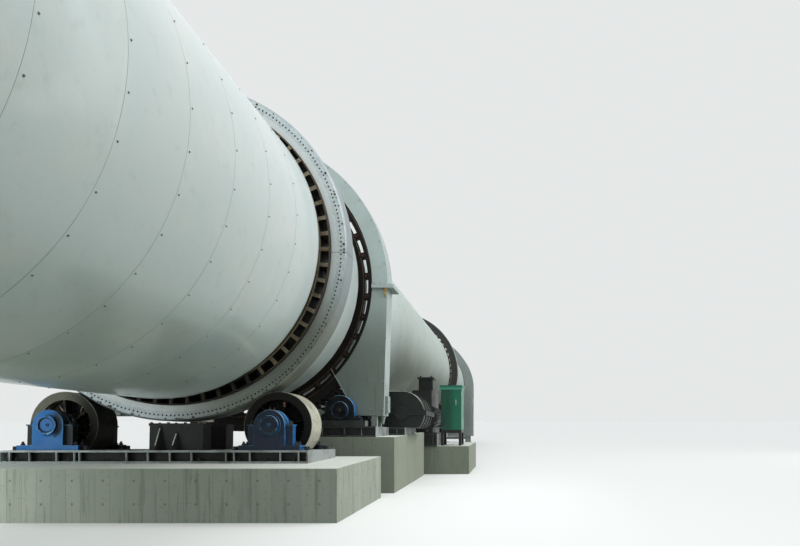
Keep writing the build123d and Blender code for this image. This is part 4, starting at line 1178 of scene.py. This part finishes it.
arch_highlights = Pile()
for face_u in (-0.590, -0.442, 17.810, 17.958):
    arch_highlights.put(arc_bead(ROLLER_X, ROLLER_DROP, 0.2335, face_u))
arch_highlights.put(arc_bead(PINION_X, DRIVE_DROP, PINION_ARCH - 0.0015, PINION_FACE))
arch_highlights.put(arc_bead(ROLLER_X, ROLLER_DROP, 0.148, -0.630, 0, 105))
arch_highlights.put(arc_bead(-ROLLER_X, ROLLER_DROP, 0.168, -0.592, 70, 175, 0.004))
arch_highlights.put(arc_bead(-ROLLER_X, ROLLER_DROP, 0.136, -0.630, 250, 330, 0.004))
arch_highlights.put(arc_bead(PINION_X, DRIVE_DROP, 0.168, 1.750, 0, 105))
arch_highlights.show("arch_highlights", "plant", "blue_paint", "highlight_blue")

# %% [markdown]
# ### Cap shade, nipples and stops
# A dark ring painted in the middle of each end cap stands for the shade in its recess. Two
# grease nipples stand on the crown of a block, and screwed stops keep its foot where it was set.

# %% Cap shade rings, grease nipples and block stops
keep(oiled("brass", shade(120, 74, 52), 0.5, shade(70, 50, 38), 0.4, 0.4))
cap_shade_rings, nipples, stops = Pile(), Pile(), Pile()
cap_shade_ring = turned([(0.098, -0.001), (0.098, 0.0015), (0.119, 0.0015), (0.119, -0.001)], 40, True)
nipple = turned([(0.011, -0.006), (0.011, 0.012), (0.006, 0.014), (0.006, 0.026),
                 (0.009, 0.030), (0.008, 0.038), (0.003, 0.042)], 12)
stop_plate, stop_pin = slab(0.05, 0.12, 0.06, 0.004), turned([(0.010, 0), (0.010, 0.052)], 10)
for tyre, middle, end, x in BLOCKS:
    node = tyre + "_bearing_housings"
    ring_on_cap(cap_shade_rings, node, end, middle + end * 0.4, x, 0.105, cap_shade_ring)
    for offset in (-0.09, 0.09):
        on_top(nipples, node, middle + offset, x, 2.4, nipple)
    for away in (-1, 1):
        start, out = station(middle, x + away * 0.545, 3.0), ACROSS * away
        fasten(stops, tyre + "_base_frame", start, -SQUARE_UP, stop_plate, ACROSS)
        for shape, way in ((bolt(0.02), out), (stop_pin, -out)):
            aside = SQUARE_UP * 0.038 + way * 0.022
            fasten(stops, tyre + "_base_frame", start, -SQUARE_UP, shape, up=way, aside=aside)
cap_shade_rings.show("cap_shade_rings", "plant", "black_paint", "black_paint")
nipples.show("grease_nipples", "plant", "shaft_steel", "brass")
stops.show("block_stops", "plant", "black_paint", "black_paint")

# %% [markdown]
# ## Rollers
# A keeper ring with eight screws holds each roller on its shaft, and one of its six ribs has
# an eye for the crane. These parts turn with their own roller.

# %% Roller fittings
# A pale finish for painted highlights.
keep(oiled("highlight_pale", shade(222, 220, 208), 0.5, shade(150, 146, 130), 0.0, 0.25))
keep(painted("red_primer", shade(112, 66, 52), 0.55, (70, 52, 42), 0.5))
FIRST_RIB = {"left": -35, "right": -73.5}
# Painted highlight on the left roller's rib edges; the right roller's rib edges are dark, like its shaded
# face.
RIB_EDGE = {"left": "highlight_pale", "right": "dark_bolt"}
keeper = turned([(0.118, -0.003), (0.165, -0.003), (0.165, 0.008), (0.160, 0.012),
                 (0.123, 0.012), (0.118, 0.008)], 40, True)
for tyre, tyre_u in TYRES.items():
    for x, hand in ((-ROLLER_X, "left"), (ROLLER_X, "right")):
        node, wheel = f"{tyre}_{hand}_roller", f"{tyre}_{hand}_wheel"
        fittings, rib_edges, eyes = Pile(), Pile(), Pile()
        for end in (-1, 1):
            face_u = face_along(node, station(tyre_u + end * 0.34, x + 0.15, ROLLER_DROP), -ALONG * end)
            fittings.put(keeper, standing(station(face_u, x, ROLLER_DROP), ALONG * end))
            for spot in circle(x, ROLLER_DROP, 0.142, 8, 22.5):
                fittings.put(bolt(0.012), standing(station(face_u + end * 0.012, *spot), ALONG * end))
            start_u, rib = tyre_u + end * 0.3, FIRST_RIB[hand]
            for spot in circle(x, ROLLER_DROP, 0.335, 6, rib + 30):
                spoke = station(start_u, *spot) - station(start_u, x, ROLLER_DROP)
                on_end(rib_edges, node, end, start_u, *spot, slab(0.14, 0.012, 0.004, 0.001), spoke)
            eye_spot = circle(x, ROLLER_DROP, 0.345, 6, rib)[0]
            on_end(eyes, node, end, start_u, *eye_spot, ring(0.034, 0.009, 0.028), SQUARE_UP)
        fittings.show(f"{node}_fittings", wheel, "roller_steel", "bright_bolt")
        rib_edges.show(f"{node}_rib_edges", wheel, "roller_steel", RIB_EDGE[hand])
        eyes.show(f"{node}_eyes", wheel, "roller_steel", "red_primer")

# %% [markdown]
# ## Base frames and thrust pedestals
# Anchor studs hold the frames to the piers through their bottom flanges, one pair in each cell
# between two stiffeners. The pedestals of the thrust roller are bolted down through their
# capping plates, and pale strips lie along the edges of their gussets.

# %% Anchors, pedestal bolts and roller cap
keep(oiled("pale_edge_black", shade(196, 200, 194), 0.5, shade(120, 122, 116), 0.0, 0.3))
STIFFENERS = (-1.885, -1.475, -1.13, -0.42, 0.235, 1.085, 1.445, 1.905)
CELLS = [-2.1] + [(a + b) / 2 for a, b in zip(STIFFENERS, STIFFENERS[1:])] + [2.1]
anchors, pedestal_bolts, gusset_edges, thrust_cap = (Pile() for _ in range(4))
for node, rails, xs, flange_z in (
    ("near_base_frame", FRAME_RAILS["near_base_frame"], CELLS, 0.773),
    ("far_base_frame", FRAME_RAILS["far_base_frame"], CELLS, 0.147),
    ("pinion_base_frame", (1.744, 2.763), (1.45, 1.8, 2.2, 2.6), 1.098),
    ("gearbox_base_frame", (2.983, 4.133), (1.5, 1.9, 2.35, 2.9), 1.098),
    ("motor_base_frame", (5.718, 7.027), (2.75, 3.04, 3.33), 0.744),
):
    for rail_y in rails:
        for x in xs:
            for away in (-0.065, 0.065):
                fasten(anchors, node, (x, rail_y + away, flange_z + 0.03), -UP, stud(0.026, 1.2), ACROSS)

THRUST_U, THRUST_X = 0.386, 0.17
for end in (-1, 1):
    for x in (-0.16, 0.1, 0.36, 0.6):
        for offset in (-0.11, 0.11):
            on_top(pedestal_bolts, "thrust_housings", end * THRUST_U + offset, x, 2.55, bolt(0.022))
    for x, top in ((-0.010, 2.87), (0.245, 2.95)):
        upper = seat("thrust_housings", station(end * 1.3, x, top), -ALONG * end)
        lower = seat("thrust_housings", station(end * 1.3, x, 3.13), -ALONG * end)
        slope = lower - upper
        gusset_edges.put(slab(slope.length, 0.014, 0.003, 0.001),
                         standing((upper + lower) / 2, slope.cross(ACROSS) * -end, slope))

lid = turned([(0.075, -0.003), (0.075, 0.014), (0.068, 0.02), (0.03, 0.02), (0.03, 0.03), (0.024, 0.033)], 28)
on_top(thrust_cap, "downhill_thrust_roller", THRUST_U, THRUST_X, 2.4, lid)
for across, along in circle(THRUST_X, 0, 0.12, 6):
    on_top(thrust_cap, "downhill_thrust_roller", THRUST_U + along, across, 2.4, bolt(0.014))
anchors.show("anchor_studs", "plant", "galvanised_steel", "dark_bolt")
pedestal_bolts.show("pedestal_bolts", "plant", "black_paint", "dark_bolt")
gusset_edges.show("gusset_edges", "plant", "black_paint", "pale_edge_black")
thrust_cap.show("downhill_thrust_cap", "downhill_thrust", "roller_steel", "bright_bolt")

# %% [markdown]
# ## Gear and its web
# The gear's two halves are bolted to the plate through lugs between its slots. Rust shows
# first where the lugs were welded.

# %% Web bolts and lugs
SLOTS, LUG_HIGH = 38, 0.016
keep(oiled("rusty_steel", shade(96, 68, 50), 0.75, shade(120, 84, 58), 0.1, 0.5))
web_bolts, lugs = Pile(), Pile()
for k in range(SLOTS):
    degrees = 360 * (k + 0.5) / SLOTS
    for side in (-1, 1):
        start_u, aim = 2.2 + side * 0.6, -ALONG * side
        fasten(lugs, "gear_web", on_drum(start_u, 2.49, degrees), aim, slab(0.10, 0.05, LUG_HIGH, 0.004),
               outward(degrees))
        for radius in (2.46, 2.52):
            fasten(web_bolts, "gear_web", on_drum(start_u, radius, degrees), aim, bolt(0.018),
                   aside=-aim * LUG_HIGH)
    for offset in (-2.4, 2.4):
        fasten(web_bolts, "girth_gear", on_drum(1.9, 2.606, degrees + offset), ALONG, bolt(0.022))
web_bolts.show("web_bolts", "drum", "gear_steel", "gear_steel")
lugs.show("web_lugs", "drum", "gear_steel", "rusty_steel")

# %% [markdown]
# ## Gear guard
# Sheet covers like this are bolted through angles along their split, and their free edges are
# folded so that they don't cut or rattle. Old grease drains through a cone at the bottom.

# %% Guard bolts, folded edges and drains
keep(oiled("rusty_yellow", shade(178, 156, 104), 0.65, shade(116, 84, 52), 0.0, 0.5))
LOW_BOLTS = ((2.75, 1.28), (2.91, 1.06), (2.88, 1.50), (2.62, 1.9), (2.86, 1.9), (2.62, 2.45), (2.86, 2.45))
GUARD_STARTS = ((-1, 1.6), (1, 2.9))
GUARD_BOTTOM = 2.579
FOLD = ((1.85, 1.66), (2.146, 2.19), (2.235, 2.352), (2.235, GUARD_BOTTOM - 0.02))
guard_bolts, guard_edges, drains = Pile(), Pile(), Pile()
drain = turned([(0.05, -0.002), (0.05, 0.012), (0.046, 0.014), (0.018, 0.13), (0.016, 0.17)], 20)
for hand in (-1, 1):
    for k in range(5):
        on_top(guard_bolts, "gear_guard_upper", 2.01 + 0.43 * k / 4, hand * 2.985, -0.6, stud(0.02))
    for k in range(3):
        for edge_u in (1.965, 2.485):
            on_top(guard_bolts, "gear_guard_upper", edge_u, hand * (2.70 + 0.1 * k), -0.6, stud(0.02))
    for degrees in range(8, 90, 9):
        turned_to = degrees if hand == 1 else 180 - degrees
        for end, start_u in GUARD_STARTS:
            start = on_drum(start_u, 2.905, turned_to)
            fasten(guard_bolts, "gear_guard_upper", start, -ALONG * end, bolt(0.014))
    for x, drop in LOW_BOLTS:
        for end, start_u in GUARD_STARTS:
            on_end(guard_bolts, "gear_guard_lower", end, start_u, hand * x, drop, bolt(0.016))
    for height in (-0.13, -0.045, 0.045, 0.13):
        for width in (-0.09, 0.09):
            on_side(guard_bolts, "gear_guard_lower", hand, 2.225 + width, 3.3, 2.35 + height, bolt(0.012))
    for a, b in zip(FOLD, FOLD[1:]):
        for side, u in ((-1, 1.994), (1, 2.456)):
            start, end = station(u, hand * a[0], a[1]), station(u, hand * b[0], b[1])
            fold = slab((end - start).length, 0.010, 0.016, 0.003)
            guard_edges.put(fold, standing((start + end) / 2, ALONG * side, end - start))
    fasten(drains, "gear_guard_lower", station(1.98, hand * 2.9, 3.1), SQUARE_UP, drain)
guard_bolts.show("guard_bolts", "plant", "guard_paint", "bright_bolt")
guard_edges.show("guard_edges", "plant", "guard_paint", "guard_paint")
drains.show("guard_drains", "plant", "guard_paint", "rusty_yellow")

# %% [markdown]
# ## Gearbox and pinion
# The gearbox is split at its shafts and bolted through the flange of the split, and its shaft
# caps are held by rings of bolts. It has an inspection cover, a breather and two lifting eyes,
# and a pale line along its front edge is a painted highlight.

# %% Gearbox and pinion block fittings
MOTOR_X, GEARBOX_X, ROUND_END = 3.04, 2.56, 0.464
gearbox_bolts, gearbox_covers, gearbox_rim_highlight, pinion_nuts = (Pile() for _ in range(4))


def lifting_eye(size):
    """An eye bolt: a collar with a ring standing on it."""
    collar = turned([(0.7 * size, -0.002), (0.7 * size, 0.25 * size), (0.45 * size, 0.45 * size)], 16)
    return joined(ring(size, 0.24 * size, 1.5 * size), collar)


for x in (1.588, 3.537):
    for k in range(8):
        on_top(gearbox_bolts, "gearbox", 3.14 + 1.05 * k / 7, x, 2.2, stud(0.022))
for x, radius, count in ((PINION_X, 0.185, 8), (MOTOR_X, 0.125, 6)):
    for spot in circle(x, DRIVE_DROP, radius, count, 180 / count):
        for end, start_u in ((-1, 2.97), (1, 4.6)):
            on_end(gearbox_bolts, "gearbox", end, start_u, *spot, bolt(0.016))
on_top(gearbox_covers, "gearbox", 3.66, GEARBOX_X, 1.8, slab(0.5, 0.42, 0.018, 0.004), ALONG)
cover_bolt = moved(bolt(0.012), 0, 0.018)
for k in range(4):
    for side in (-1, 1):
        on_top(gearbox_bolts, "gearbox", 3.44 + 0.147 * k, GEARBOX_X + side * 0.18, 1.8, cover_bolt)
breather = turned([(0.022, 0.01), (0.022, 0.05), (0.04, 0.052), (0.044, 0.075),
                   (0.036, 0.095), (0.012, 0.10)], 20)
on_top(gearbox_covers, "gearbox", 3.55, GEARBOX_X, 1.8, breather)
for u, x in ((3.2, 2.35), (4.12, 2.8)):
    on_top(gearbox_covers, "gearbox", u, x, 1.8, lifting_eye(0.045))
# Painted highlight: a pale bead along the top of the front edge.
front_u = face_along("gearbox", station(2.8, 2.45, 2.25), ALONG)
gearbox_rim_highlight.put(arc_bead(MOTOR_X, DRIVE_DROP, ROUND_END, front_u, 12, 92, 0.006))
flat_top = station(front_u, (PINION_X + MOTOR_X) / 2, DRIVE_DROP - ROUND_END)
gearbox_rim_highlight.put(slab(0.957, 0.009, 0.005, 0.0015), standing(flat_top, -ALONG, ACROSS))

for middle in (1.875, 2.605):
    for foot_x in (-0.355, 0.355):
        for offset in (-0.045, 0.045):
            on_top(pinion_nuts, "pinion_housings", middle + offset, PINION_X + foot_x, 2.45, stud(0.03))
for spot in circle(PINION_X, DRIVE_DROP, 0.154, 6, 30):
    on_end(pinion_nuts, "pinion_housings", -1, 1.6, *spot, bolt(0.014))
on_end(pinion_nuts, "pinion_housings", -1, 1.5, PINION_X, DRIVE_DROP, cap_boss)
gearbox_bolts.show("gearbox_bolts", "plant", "dark_green_paint", "dark_bolt")
gearbox_rim_highlight.show("gearbox_rim_highlight", "plant", "dark_green_paint", "highlight_pale")
gearbox_covers.show("gearbox_covers", "plant", "dark_green_paint", "dark_green_paint")
pinion_nuts.show("pinion_block_nuts", "plant", "blue_paint", "dark_bolt")

# %% [markdown]
# ### On the motor and its coupling
# The fan cover is a grille of rings, the end bells are held by bolts on a circle, and the motor
# is craned in by the eye on its back. Its terminal box is closed by four knobs.

# %% Motor, terminal box and coupling guard fittings
motor_parts, motor_dark = Pile(), Pile()
for u in (5.92, 7.03):
    for side in (-1, 1):
        on_top(motor_parts, "drive_motor", u, MOTOR_X + side * 0.345, 2.75, stud(0.03))
for spot in circle(MOTOR_X, DRIVE_DROP, 0.365, 8, 22.5):
    for end, start_u in ((-1, 5.5), (1, 7.4)):
        on_end(motor_parts, "drive_motor", end, start_u, *spot, bolt(0.014))
for u in (6.2, 6.75):
    for side in (-1, 1):
        on_top(motor_parts, "drive_motor", u, MOTOR_X + side * 0.215, 1.5, bolt(0.012))
for spot in circle(MOTOR_X, DRIVE_DROP, 0.212, 6, 30):
    on_end(motor_parts, "coupling_guard", -1, 4.0, *spot, bolt(0.012))
for radius in (0.10, 0.15, 0.20, 0.25, 0.30):
    inner, outer = radius - 0.006, radius + 0.006
    hoop = turned([(inner, -0.002), (outer, -0.002), (outer, 0.008), (inner, 0.008)], 48, True)
    on_end(motor_dark, "drive_motor", 1, 7.5, MOTOR_X, DRIVE_DROP, hoop)
on_top(motor_dark, "drive_motor", 6.72, MOTOR_X, 1.5, lifting_eye(0.04))
knob = turned([(0.012, -0.002), (0.012, 0.012), (0.024, 0.016), (0.026, 0.034),
               (0.018, 0.044), (0.006, 0.046)], 16)
box_rib = slab(0.24, 0.012, 0.008, 0.002)
for x in (-0.14, 0.14):
    for u in (-0.19, 0.19):
        on_top(motor_dark, "terminal_box", 6.4 + u, MOTOR_X + 0.04 + x, 1.2, knob)
for k in range(5):
    on_end(motor_dark, "terminal_box", -1, 5.9, 2.96 + 0.06 * k, DRIVE_DROP - 0.9, box_rib, UP)
motor_parts.show("motor_bolts", "plant", "black_paint", "bright_bolt")
motor_dark.show("motor_fittings", "plant", "dark_green_paint", "black_paint")

# %% [markdown]
# ## Cabinet
# The control cabinet has two doors. Each hangs on pin hinges, the wide one has a swing handle,
# and the narrow one has louvres at its foot that let the heat out.

# %% Cabinet fittings
# Painted light: the lid's lip takes a lighter copy of the cabinet green.
keep(painted("lit_lid_green", shade(80, 160, 138), 0.35, amount=0.15, edge=(150, 200, 180)))
cabinet_parts, cabinet_trim, lid_lip = Pile(), Pile(), Pile()
REARWARDS = Vector((0, 1, 0))


def on_door(pile, x, z, shape, up=None, aside=Vector()):
    fasten(pile, "drive_cabinet", (x, 5.0, z), REARWARDS, shape, ACROSS, up, aside)


on_door(cabinet_parts, 3.885, 1.83, slab(0.036, 0.15, 0.012, 0.004))
on_door(cabinet_parts, 3.885, 1.85, joined(turned([(0.014, 0), (0.014, 0.03), (0.010, 0.034)], 14),
                                           moved(slab(0.02, 0.12, 0.014, 0.004), -0.04, 0.02)))
for x, z in ((3.52, 1.16), (4.01, 1.16), (3.52, 2.20), (4.01, 2.20)):
    on_door(cabinet_parts, x, z, bolt(0.008))
door_hinge = turned([(0.009, -0.045), (0.009, 0.045)], 12)
for x in (3.52, 4.008):
    for z in (1.27, 1.68, 2.09):
        on_door(cabinet_trim, x, z, door_hinge, UP, REARWARDS * -0.004)
louvre = joined(slab(0.11, 0.016, 0.010, 0.003), turned([(0.004, 0), (0.004, 0.002)], 8))
for k in range(7):
    on_door(cabinet_trim, 3.592, 1.24 + 0.045 * k, louvre)
lid_top = max(v.co.z for v in frame["nodes"]["drive_cabinet"].data.vertices)
for x, y, towards, width in ((3.765, 5.0, REARWARDS, 0.588), (4.6, 6.3, -ACROSS, 0.75)):
    lip = slab(width, 0.085, 0.012, 0.003)
    fasten(lid_lip, "drive_cabinet", (x, y, lid_top - 0.075), towards, lip, towards.cross(UP))
lid_lip.show("cabinet_lid_lip", "plant", "green_paint", "lit_lid_green")
cabinet_parts.show("cabinet_handle", "plant", "green_paint", "bright_bolt")
cabinet_trim.show("cabinet_louvres", "plant", "green_paint", "green_paint")

# %% [markdown]
# ## Hoods
# A fixed hood takes in the gas and feed at one end and lets them out at the other. Each has
# bolted flanges, and doors on its sides for cleaning it, with hinges and a grip.

# %% Hood fittings
hood_bolts, hood_parts = Pile(), Pile()
hinge = turned([(0.018, -0.07), (0.018, 0.07)], 12)
grip_leg = turned([(0.012, -0.002), (0.012, 0.055)], 10)
grip_bar = turned([(0.012, -0.10), (0.012, 0.10)], 10)
for node, face_u, away in (("feed_hood", -7.0, -1), ("discharge_hood", 25.4, 1)):
    for k in range(72):
        fasten(hood_bolts, node, on_drum(face_u - away * 1.0, 2.62, 5 * k), ALONG * away, bolt(0.02))
    door_u = face_u + away * 0.915
    for hand in (-1, 1):
        aim = -ACROSS * hand
        for k in range(8):
            for w in (-0.29, 0.29):
                on_side(hood_bolts, node, hand, door_u + w, 3.2, k / 7, bolt(0.014))
        for drop in (0.15, 0.5, 0.85):
            start = station(door_u - away * 0.30, hand * 3.2, drop)
            fasten(hood_parts, node, start, aim, hinge, ACROSS, SQUARE_UP)
        grip_start = station(door_u + away * 0.2, hand * 3.2, 0.5)
        for offset in (-0.09, 0.09):
            fasten(hood_parts, node, grip_start, aim, grip_leg, aside=SQUARE_UP * offset)
        fasten(hood_parts, node, grip_start, aim, grip_bar, ACROSS, SQUARE_UP, aim * -0.05)
hood_bolts.show("hood_bolts", "plant", "hood_paint", "bright_bolt")
hood_parts.show("hood_handles", "plant", "hood_paint", "black_paint")

# %% [markdown]
# ## Closing the file

# %% Close the file
import json
